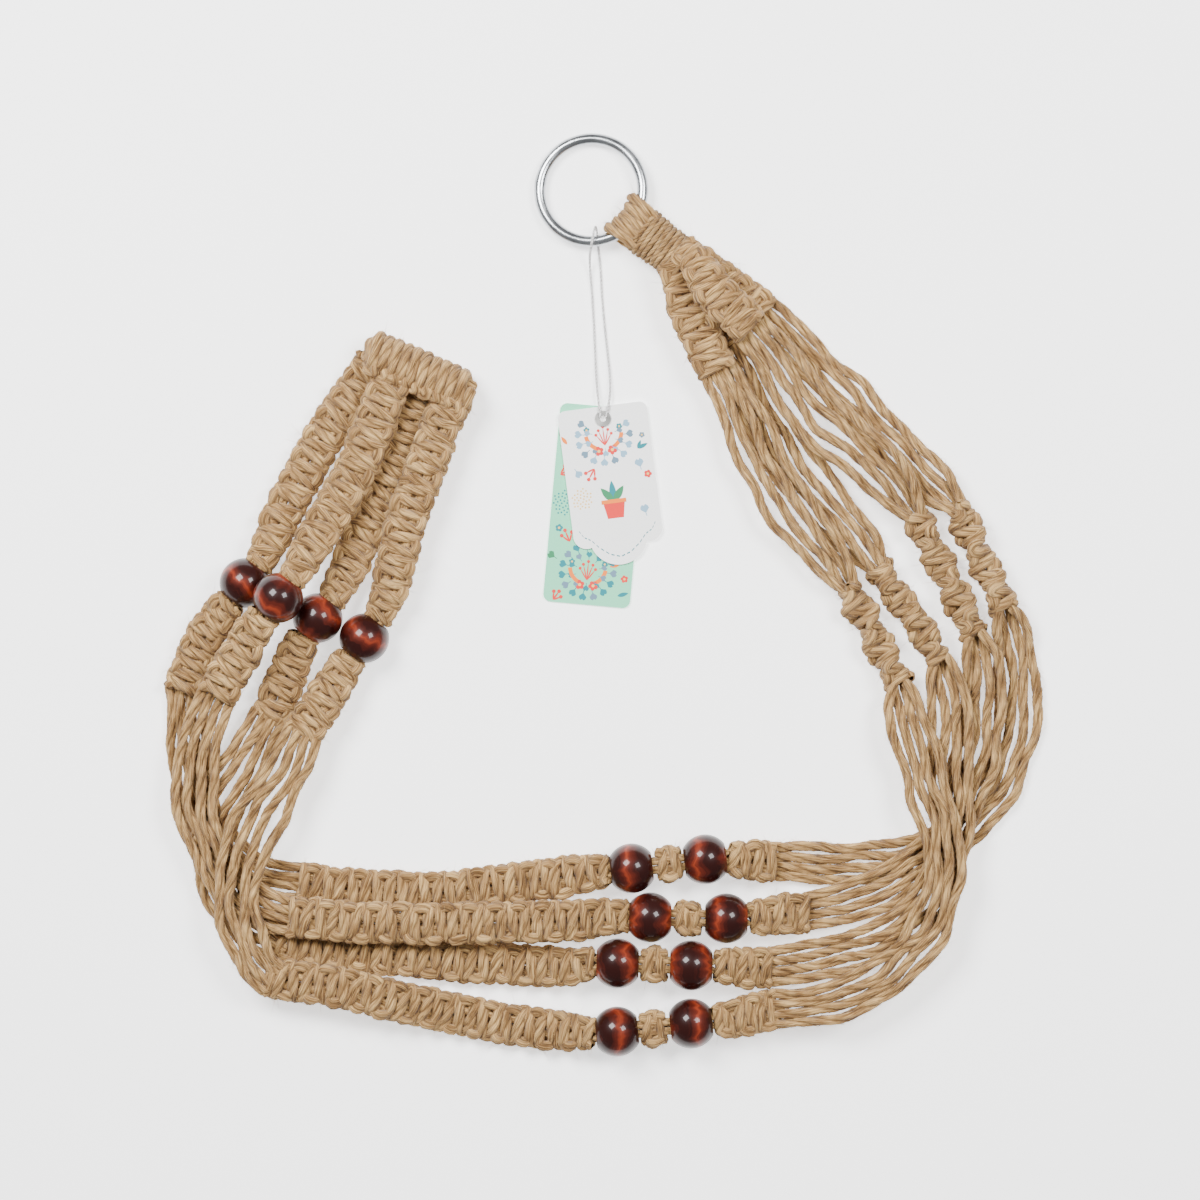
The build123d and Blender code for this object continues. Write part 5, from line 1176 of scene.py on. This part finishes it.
            point = place + outward * (along + uneven) + (side + lift) * (1 + 0.02 * math.sin(share * 97))
            point[2] += middle - place[2]
            path.append(point)
        WRAP_ROPE.add_to(wrap, np.array(path), 444)
        for number in range(12):
            side, lift = math.cos(number * 0.5236), math.sin(number * 0.5236)
            start = place + outward * 0.0070 + across * side * 0.0062 + up * lift * 0.0032
            end = place + outward * 0.0262 + across * side * 0.0052 + up * (lift * 0.0052 + 0.0032)
            Rope(radius=0.0019, sides=9, hair_gap=0.005).add_to(wrap, np.linspace(start, end, 12), 450 + number)
        settle(wrap.build("neck_wrap_turns", self.finish), "macrame", Slot.JUTE, "neck_wrap")

    def build_base_knot(self) -> None:
        """Wind the thick knot that gathers the foot of the basket."""
        start, end = (np.array(point) for point in self.base_knot_ends)
        heading = (end - start) / np.linalg.norm(end - start)
        across = np.cross(heading, [0.0, 0.0, 1.0])
        up = np.array([0.0, 0.0, 1.0])
        turns, power = self.base_knot_turns, self.base_knot_squareness
        rng = np.random.default_rng(9)
        sizes = rng.uniform(0.93, 1.0, 14)
        path = []
        for share in np.linspace(0, 1, 620):
            angle = share * turns * 2 * math.pi
            size = self.base_knot_radius * float(np.interp(share * 13, np.arange(14), sizes))
            flat = (abs(math.cos(angle)) ** power + abs(math.sin(angle)) ** power) ** (-1 / power)
            lean = heading * math.cos(angle) * 0.0018
            middle = start + (end - start) * (0.045 + 0.91 * share)
            path.append(middle + (across * math.cos(angle) + up * math.sin(angle)) * flat * size + lean)
        bag = MeshBag()
        KNOT_ROPE.add_to(bag, np.array(path), 500)
        for number in range(7):
            angle = number * 0.9
            offset = (across * math.cos(angle) + up * math.sin(angle)) * (0.0036 if number else 0.0)
            line = np.linspace(start + heading * 0.0010, end - heading * 0.0010, 30) + offset
            Rope(radius=0.0021, sides=10, hair_gap=0.006).add_to(bag, line, 510 + number)
        chain = []
        for share in np.linspace(0.06, 0.94, 400):
            beat = share * turns * 2 * math.pi
            middle = start + (end - start) * share + across * (0.0066 + 0.0012 * math.cos(beat))
            lift = up * (0.0042 + 0.0016 * math.sin(beat))
            chain.append(middle + lift + heading * 0.0011 * math.sin(beat * 2))
        KNOT_ROPE.add_to(bag, np.array(chain), 540)
        for number, (size, shift) in enumerate(((0.0056, 0.0022), (0.0034, 0.0006))):
            angles = np.linspace(0, 2.2 * math.pi, 60)
            ring = []
            for angle in angles:
                middle = start + heading * (shift + 0.0008 * math.sin(angle * 2))
                ring.append(middle + (across * math.cos(angle) + up * math.sin(angle)) * size)
            KNOT_ROPE.add_to(bag, np.array(ring), 520 + number)
        settle(bag.build("base_knot_turns", self.finish), "macrame", Slot.JUTE, "base_knot")


# ---------------------------------------------------------------- beads, ring and tag
@dataclass
class Beads:
    """Turned wooden beads, one to each spinning body."""

    joints: dict[str, dict[str, object]]
    radius: float = 0.0100
    hole_radius: float = 0.0045
    lip: float = 0.0009

    def centre(self, body: str) -> Vector:
        """Return a bead's middle."""
        return Vector(self.joints[body]["pos_m"])

    def axis(self, body: str) -> Vector:
        """Return the way its hole runs."""
        return Vector(self.joints[body]["axis"]).normalized()

    def build(self, finish: bpy.types.Material) -> None:
        """Turn every bead as one closed ring-shaped surface: outside, lips and hole."""
        edge = math.asin((self.hole_radius + self.lip) / self.radius)
        sweep = np.linspace(math.pi - edge, edge, 40)
        outside = [(math.sin(a) * self.radius, math.cos(a) * self.radius) for a in sweep]
        face = math.cos(edge) * self.radius
        bend = np.linspace(0, math.pi / 2, 5)[1:]
        rim = self.hole_radius + self.lip
        upper = [(rim - self.lip * math.sin(a), face - self.lip * (1 - math.cos(a))) for a in bend]
        hole = [(self.hole_radius, z) for z in np.linspace(face - self.lip * 1.6, -face + self.lip * 1.6, 6)]
        lower = [(radius, -z) for radius, z in reversed(upper)]
        profile = outside + upper + hole + lower + outside[:1]
        for number, body in enumerate(sorted(self.joints)):
            if "_bead_" not in body:
                continue
            axis, centre = self.axis(body), self.centre(body)
            side = axis.orthogonal().normalized()
            other = axis.cross(side)
            around = np.arange(64)[:, None] * 2 * math.pi / 64
            ring = np.array(side[:]) * np.cos(around) + np.array(other[:]) * np.sin(around)
            grid = np.array([np.array(centre[:]) + ring * r + np.array(axis[:]) * z for r, z in profile])
            along = np.array([z / self.radius for _, z in profile]) + (number * 0.37) % 3.0
            bag = MeshBag()
            bag.add_grid(grid, np.linspace(0, 1, 65) + number * 0.13, along)
            settle(bag.build(body + "_wood", finish), body, Slot.BEAD, body)


@dataclass
class HangingRing:
    """A closed ring of plated wire with a faint butt weld."""

    joint: dict[str, object]
    radius: float = 0.0207
    wire_radius: float = 0.0023
    steps_round: int = 144
    wire_sides: int = 28
    weld_height: float = 0.00012
    weld_angle: float = 2.2
    weld_width: float = 0.05
    plating_gap: float = 0.00001

    def build(self, finish: bpy.types.Material) -> None:
        """Bend the wire and settle the ring on its body."""
        centre, normal = Vector(self.joint["pos_m"]), Vector(self.joint["axis"]).normalized()
        side = normal.orthogonal().normalized()
        other = normal.cross(side)
        rings, sides = self.steps_round, self.wire_sides
        grid = np.zeros((rings + 1, sides, 3))
        for index in range(rings + 1):
            angle = index / rings * 2 * math.pi
            outward = side * math.cos(angle) + other * math.sin(angle)
            weld = self.weld_height * math.exp(-(((angle - self.weld_angle) / self.weld_width) ** 2))
            for step in range(sides):
                turn = step / sides * 2 * math.pi
                size = self.wire_radius + weld - self.plating_gap
                place = centre + outward * (self.radius + math.cos(turn) * size)
                grid[index, step] = (place + normal * math.sin(turn) * size)[:]
        bag = MeshBag()
        bag.add_grid(grid, np.linspace(0, 1, sides + 1), np.linspace(0, 13, rings + 1))
        settle(bag.build("ring_wire", finish), "ring", Slot.RING, "ring")


@dataclass
class CardPrint:
    """Printed shapes on a card, each a thin flat film of ink just above its face."""

    name: str
    body: str
    slot: Slot
    hole: tuple[float, float]
    lean: float
    face: float
    inks: dict[Ink, bpy.types.Material]
    film: float = 0.00003
    film_step: float = 0.0000012
    hole_margin: float = 6.0
    vertices: list[Point] = field(default_factory=list)
    faces: list[list[int]] = field(default_factory=list)
    colours: list[Ink] = field(default_factory=list)

    def shape(self, outline: list[tuple[float, float]], ink: Ink, layer: int = 0) -> None:
        """Add one filled outline, in millimetres from the card's hole, and a rim down to the card."""
        turn = math.radians(self.lean)
        first = len(self.vertices)
        height = self.face + self.film * (1 + layer * 2) + self.film_step * (len(self.colours) % 40)
        for level in (height, self.face - 0.00005):
            for x, y in outline:
                px = (x * math.cos(turn) - y * math.sin(turn)) / 1000 + self.hole[0]
                py = (x * math.sin(turn) + y * math.cos(turn)) / 1000 + self.hole[1]
                self.vertices.append((px, py, level))
        count = len(outline)
        self.faces.append([first + index for index in range(count)])
        self.colours.append(ink)
        for index in range(count):
            after = (index + 1) % count
            self.faces.append([first + index, first + count + index, first + count + after, first + after])
            self.colours.append(ink)

    def leaf(
        self, x: float, y: float, heading: float, length: float, width: float, ink: Ink, layer: int = 0
    ) -> None:
        """Add a pointed leaf from its foot, heading in degrees."""
        turn = math.radians(heading)
        shares = np.linspace(0, 1, 9)
        half = [math.sin(share * math.pi) ** 0.8 * width / 2 * (1.15 - 0.4 * share) for share in shares]
        outline = [(share * length, -size) for share, size in zip(shares, half)]
        outline += [(share * length, size) for share, size in zip(shares[-2:0:-1], half[-2:0:-1])]
        cos, sin = math.cos(turn), math.sin(turn)
        placed = [(x + a * cos - b * sin, y + a * sin + b * cos) for a, b in outline]
        self.shape(placed, ink, layer)

    def arc(self, x: float, y: float, radius: float, width: float, start: float, end: float, ink: Ink) -> None:
        """Add a curved band about a middle, between two angles in degrees."""
        angles = np.radians(np.linspace(start, end, 15))
        near, far = radius - width / 2, radius + width / 2
        outer = [(x + math.cos(a) * far, y + math.sin(a) * far) for a in angles]
        inner = [(x + math.cos(a) * near, y + math.sin(a) * near) for a in angles[::-1]]
        self.shape(outer + inner, ink)

    def dot(self, x: float, y: float, radius: float, ink: Ink, layer: int = 0) -> None:
        """Add a round dot."""
        angles = np.linspace(0, 2 * math.pi, 13)[:-1]
        self.shape([(x + math.cos(a) * radius, y + math.sin(a) * radius) for a in angles], ink, layer)

    def ginkgo(self, x: float, y: float, heading: float, size: float, ink: Ink) -> None:
        """Add a fan-shaped leaf: a short stalk, two lobes and a notch between them."""
        turn = math.radians(heading)
        outline = [(-0.35, -0.05), (0.0, -0.04), (0.45, -0.5), (0.75, -0.42), (0.95, -0.18), (0.78, 0.0)]
        outline += [(px, -py) for px, py in reversed(outline[:-1])]
        cos, sin = math.cos(turn) * size, math.sin(turn) * size
        self.shape([(x + px * cos - py * sin, y + px * sin + py * cos) for px, py in outline], ink)

    def blossom(self, x: float, y: float, size: float, ink: Ink) -> None:
        """Add a round flower of five petals with a pale middle."""
        for number in range(5):
            angle = number * 2 * math.pi / 5 + x
            self.dot(x + math.cos(angle) * size, y + math.sin(angle) * size, size * 0.72, ink)
        self.dot(x, y, size * 0.55, Ink.CREAM, 1)

    def stipple(self, x: float, y: float, radius: float, count: int, ink: Ink) -> None:
        """Add a disc of fine dots, spaced like the seeds of a sunflower."""
        for number in range(count):
            reach = radius * math.sqrt((number + 0.5) / count)
            angle = number * 2.39996
            self.dot(x + math.cos(angle) * reach, y + math.sin(angle) * reach, 0.36, ink)

    def branch(self, x: float, y: float, heading: float, length: float, ink: Ink) -> None:
        """Add a forked twig with a berry on each tip."""
        for side in (-34, 0, 30):
            turn = math.radians(heading + side)
            reach = length * (1.0 - abs(side) * 0.006)
            self.leaf(x, y, heading + side, reach, 0.75, ink)
            self.dot(x + math.cos(turn) * reach, y + math.sin(turn) * reach, 0.75, ink, 1)

    def bouquet(self, x: float, y: float, leaf_ink: Ink) -> None:
        """Add a round bouquet: a wreath of fan leaves, curved fronds, stems and blossoms."""
        for radius, count, size, shift in ((8.9, 15, 3.1, 0.0), (5.6, 10, 2.5, 0.3)):
            for number in range(count):
                angle = number * 2 * math.pi / count + shift
                px, py = x + math.cos(angle) * radius, y + math.sin(angle) * radius
                if math.hypot(px, py) < self.hole_margin:
                    continue
                self.ginkgo(px, py, math.degrees(angle), size, leaf_ink if number % 3 else Ink.LEAF_GREY)
        for side in (-1, 1):
            self.arc(x + side * 0.6, y + 1.6, 6.6, 1.6, 270 + side * 16, 270 + side * 84, Ink.ORANGE)
            self.blossom(x + side * 2.7, y - 5.6, 1.15, Ink.CORAL)
            self.blossom(x + side * 6.6, y + 3.4, 0.75, Ink.TEAL)
        for heading in (56, 73, 90, 107, 124):
            turn, reach = math.radians(heading), 7.6 - abs(heading - 90) * 0.06
            self.leaf(x, y - 3.6, heading, reach, 0.55, Ink.CORAL)
            self.dot(x + math.cos(turn) * reach, y - 3.6 + math.sin(turn) * reach, 0.62, Ink.CORAL, 1)

    def build(self) -> None:
        """Make the print as one piece with a material for each ink."""
        mesh = bpy.data.meshes.new(self.name)
        mesh.from_pydata(self.vertices, [], self.faces)
        used = list(Ink)
        for ink in used:
            mesh.materials.append(self.inks[ink])
        for polygon, ink in zip(mesh.polygons, self.colours):
            polygon.material_index = used.index(ink)
        piece = bpy.data.objects.new(self.name, mesh)
        bpy.context.scene.collection.objects.link(piece)
        settle(piece, self.body, self.slot)


@dataclass
class HangTag:
    """Two printed cards on an eyelet, hung from the ring by a thin string."""

    finishes: Finishes
    frame: dict[str, object]
    hole: tuple[float, float] = (0.0012, 0.0708)
    back_lean: float = -5.2
    front_lean: float = 7.5
    string_diameter: float = 0.0011
    carried: tuple[str, ...] = ("tag_eyelet", "tag_card_back", "tag_card_front")

    def build_string(self) -> None:
        line = cord_line("tag_string_route", TAG_STRING)
        bag = MeshBag()
        STRING_ROPE.add_to(bag, line, 700)
        piece = bag.build("tag_string_twist", self.finishes.string)
        settle(piece, "tag_string", Slot.STRING, "tag_string")

    def dress_node(self, name: str, finish: bpy.types.Material) -> None:
        """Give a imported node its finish."""
        for slot in self.frame["nodes"][name].material_slots:
            slot.material = finish
        LOG.info("%s dressed", name)

    def print_front(self) -> None:
        """Print the front card: a bouquet at the top, a small potted sprout and a dashed lower edge."""
        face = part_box("tag_card_front")[1][2]
        art = CardPrint(
            "tag_front_print", "tag_card_front", Slot.CARD_FRONT, self.hole, self.front_lean, face,
            self.finishes.inks,
        )
        art.bouquet(-0.6, -7.2, Ink.SKY)
        art.branch(-6.0, -19.4, 235, 5.0, Ink.CORAL)
        art.ginkgo(12.4, -21.0, 100, 3.6, Ink.SKY)
        art.ginkgo(-13.4, -19.5, 300, 3.2, Ink.SKY)
        art.blossom(15.0, -24.2, 0.95, Ink.CORAL)
        art.leaf(12.2, -13.6, 20, 4.6, 1.7, Ink.TEAL)
        art.leaf(12.2, -13.6, 62, 3.6, 1.4, Ink.TEAL)
        art.leaf(-15.6, -8.4, 120, 4.0, 1.6, Ink.ORANGE)
        art.blossom(14.6, -8.4, 0.7, Ink.LEAF_GREY)
        art.stipple(-12.4, -31.0, 4.3, 34, Ink.CREAM)
        art.ginkgo(12.2, -39.6, 100, 3.6, Ink.SKY)
        art.leaf(0, -33.5, 128, 7.5, 3.0, Ink.GREEN)
        art.leaf(0, -33.5, 90, 8.5, 2.8, Ink.TEAL)
        art.leaf(0, -33.5, 52, 7.5, 3.0, Ink.GREEN)
        art.shape([(-4.4, -33.6), (4.4, -33.6), (3.2, -40.2), (-3.2, -40.2)], Ink.CORAL, 1)
        art.shape([(-5.0, -32.6), (5.0, -32.6), (5.0, -34.2), (-5.0, -34.2)], Ink.ORANGE, 2)
        edge = [(-15.6, -43.6), (-13.8, -46.6), (-11.0, -48.2), (-8.0, -51.6), (-4.2, -54.6), (0, -56.0)]
        for start, end in zip(edge, edge[1:]):
            for share in (0.1, 0.6):
                for side in (1, -1):
                    x0, y0 = start[0] + (end[0] - start[0]) * share, start[1] + (end[1] - start[1]) * share
                    x1, y1 = x0 + (end[0] - start[0]) * 0.3, y0 + (end[1] - start[1]) * 0.3
                    dash = [(side * x0, y0), (side * x1, y1), (side * x1, y1 + 0.5), (side * x0, y0 + 0.5)]
                    art.shape(dash[::side], Ink.TEAL)
        art.build()

    def print_back(self) -> None:
        """Print the back card: a bouquet at its foot, with twigs, dots and leaves along its edges."""
        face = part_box("tag_card_back")[1][2]
        art = CardPrint(
            "tag_back_print", "tag_card_back", Slot.CARD_BACK, self.hole, self.back_lean, face,
            self.finishes.inks,
        )
        art.bouquet(-0.6, -61.6, Ink.TEAL)
        art.stipple(-11.8, -35.0, 5.2, 44, Ink.TEAL)
        art.branch(-8.8, -50.4, 118, 5.0, Ink.CORAL)
        art.branch(-15.0, -24.0, 40, 5.0, Ink.CORAL)
        art.branch(-13.4, -74.2, 60, 4.2, Ink.CORAL)
        art.leaf(12.2, -70.4, 20, 4.6, 1.7, Ink.TEAL)
        art.leaf(12.0, -57.6, 200, 4.2, 1.7, Ink.ORANGE)
        art.blossom(-13.6, -45.2, 0.9, Ink.TEAL)
        art.blossom(14.4, -63.4, 0.9, Ink.CORAL)
        for x, y, heading in ((-14.6, -14.0, 80), (-15.0, -6.0, 250), (-14.4, -57.0, 150), (15.0, -54.0, 20)):
            art.ginkgo(x, y, heading, 3.2, Ink.GREEN)
        art.build()

    def build(self) -> None:
        """Make the string and print and dress the cards."""
        self.build_string()
        self.dress_node("tag_eyelet", self.finishes.eyelet)
        self.dress_node("tag_card_back", self.finishes.card_back)
        self.dress_node("tag_card_front", self.finishes.card_front)
        self.print_front()
        self.print_back()


# ---------------------------------------------------------------- studio
@dataclass
class Studio:
    """A pale floor, soft light and a camera straight above the planter."""

    aim: Point = (0.0, -0.002, 0.008)
    distance: float = 1.60
    lens: float = 120.0

    def build_camera(self) -> None:
        """Place the camera, looking straight down with +Y up the picture."""
        data = bpy.data.cameras.new("overhead")
        data.lens = self.lens
        data.sensor_width = 36.0
        data.clip_start = 0.01
        camera = bpy.data.objects.new("overhead", data)
        camera.location = (self.aim[0], self.aim[1], self.aim[2] + self.distance)
        bpy.context.scene.collection.objects.link(camera)
        bpy.context.scene.camera = camera

    def softbox(self, name: str, place: Point, size: float, power: float) -> None:
        """Hang a square soft light that faces the planter."""
        data = bpy.data.lights.new(name, "AREA")
        data.size = size
        data.energy = power
        lamp = bpy.data.objects.new(name, data)
        lamp.location = place
        toward = Vector(self.aim) - Vector(place)
        lamp.rotation_euler = toward.to_track_quat("-Z", "Y").to_euler()
        bpy.context.scene.collection.objects.link(lamp)

    def build(self) -> None:
        """Lay the floor and light the scene."""
        world = bpy.data.worlds.new("studio")
        bpy.context.scene.world = world
        world.use_nodes = True
        world.node_tree.nodes["Background"].inputs[0].default_value = (1.0, 1.0, 1.0, 1.0)
        world.node_tree.nodes["Background"].inputs[1].default_value = 0.34
        self.softbox("softbox_left", (-0.50, 0.50, 1.0), 0.50, 30.0)
        self.softbox("softbox_right", (0.62, 0.30, 1.1), 0.45, 19.0)
        shader = Shader.named("studio_floor")
        shade = shader.noise(shader.place(), 3.0)
        colour = shader.ramp(shade, [(0.0, (0.93, 0.93, 0.93)), (1.0, (0.95, 0.95, 0.95))])
        shader.join(colour, shader.surface.inputs["Base Color"])
        shader.set(Roughness=0.9, Specular_IOR_Level=0.1, Emission_Strength=1.3)
        shader.surface.inputs["Emission Color"].default_value = (1.0, 1.0, 1.0, 1.0)
        mesh = bpy.data.meshes.new("floor")
        reach = 3.0
        corners = [(-reach, -reach, 0), (reach, -reach, 0), (reach, reach, 0), (-reach, reach, 0)]
        mesh.from_pydata(corners, [], [(0, 1, 2, 3)])
        mesh.materials.append(shader.material)
        floor = bpy.data.objects.new("floor", mesh)
        bpy.context.scene.collection.objects.link(floor)


def joints_by_child(frame: dict[str, object]) -> dict[str, dict[str, object]]:
    """Return the record's joints, by the body that each one moves."""
    return {joint["child"]: joint for joint in frame["record"]["behaviour"]["joints"]}


def main() -> None:
    """Build the planter and its studio."""
    logging.basicConfig(level=logging.INFO, format="%(message)s")
    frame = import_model()
    studio = Studio()
    studio.build_camera()
    finishes = Finishes.make()
    joints = joints_by_child(frame)
    declared = 0
    for stretch, routes in (("neck", NECK_CORDS), ("waist", WAIST_CORDS), ("basket", BASKET_CORDS)):
        declared = LooseCords(stretch, routes, declared_limit=39).build(finishes.jute, declared)
    tag = HangTag(finishes, frame)
    tag.build()
    beads = Beads(joints)
    beads.build(finishes.wood)
    macrame = Macrame(finishes.jute, joints["ring_loops"])
    macrame.build_sinnets()
    macrame.build_spirals()
    macrame.build_bead_cores(beads)
    macrame.build_neck()
    macrame.build_base_knot()
    HangingRing(joints["ring"]).build(finishes.ring)
    studio.build()


if __name__ == "__main__":
    main()
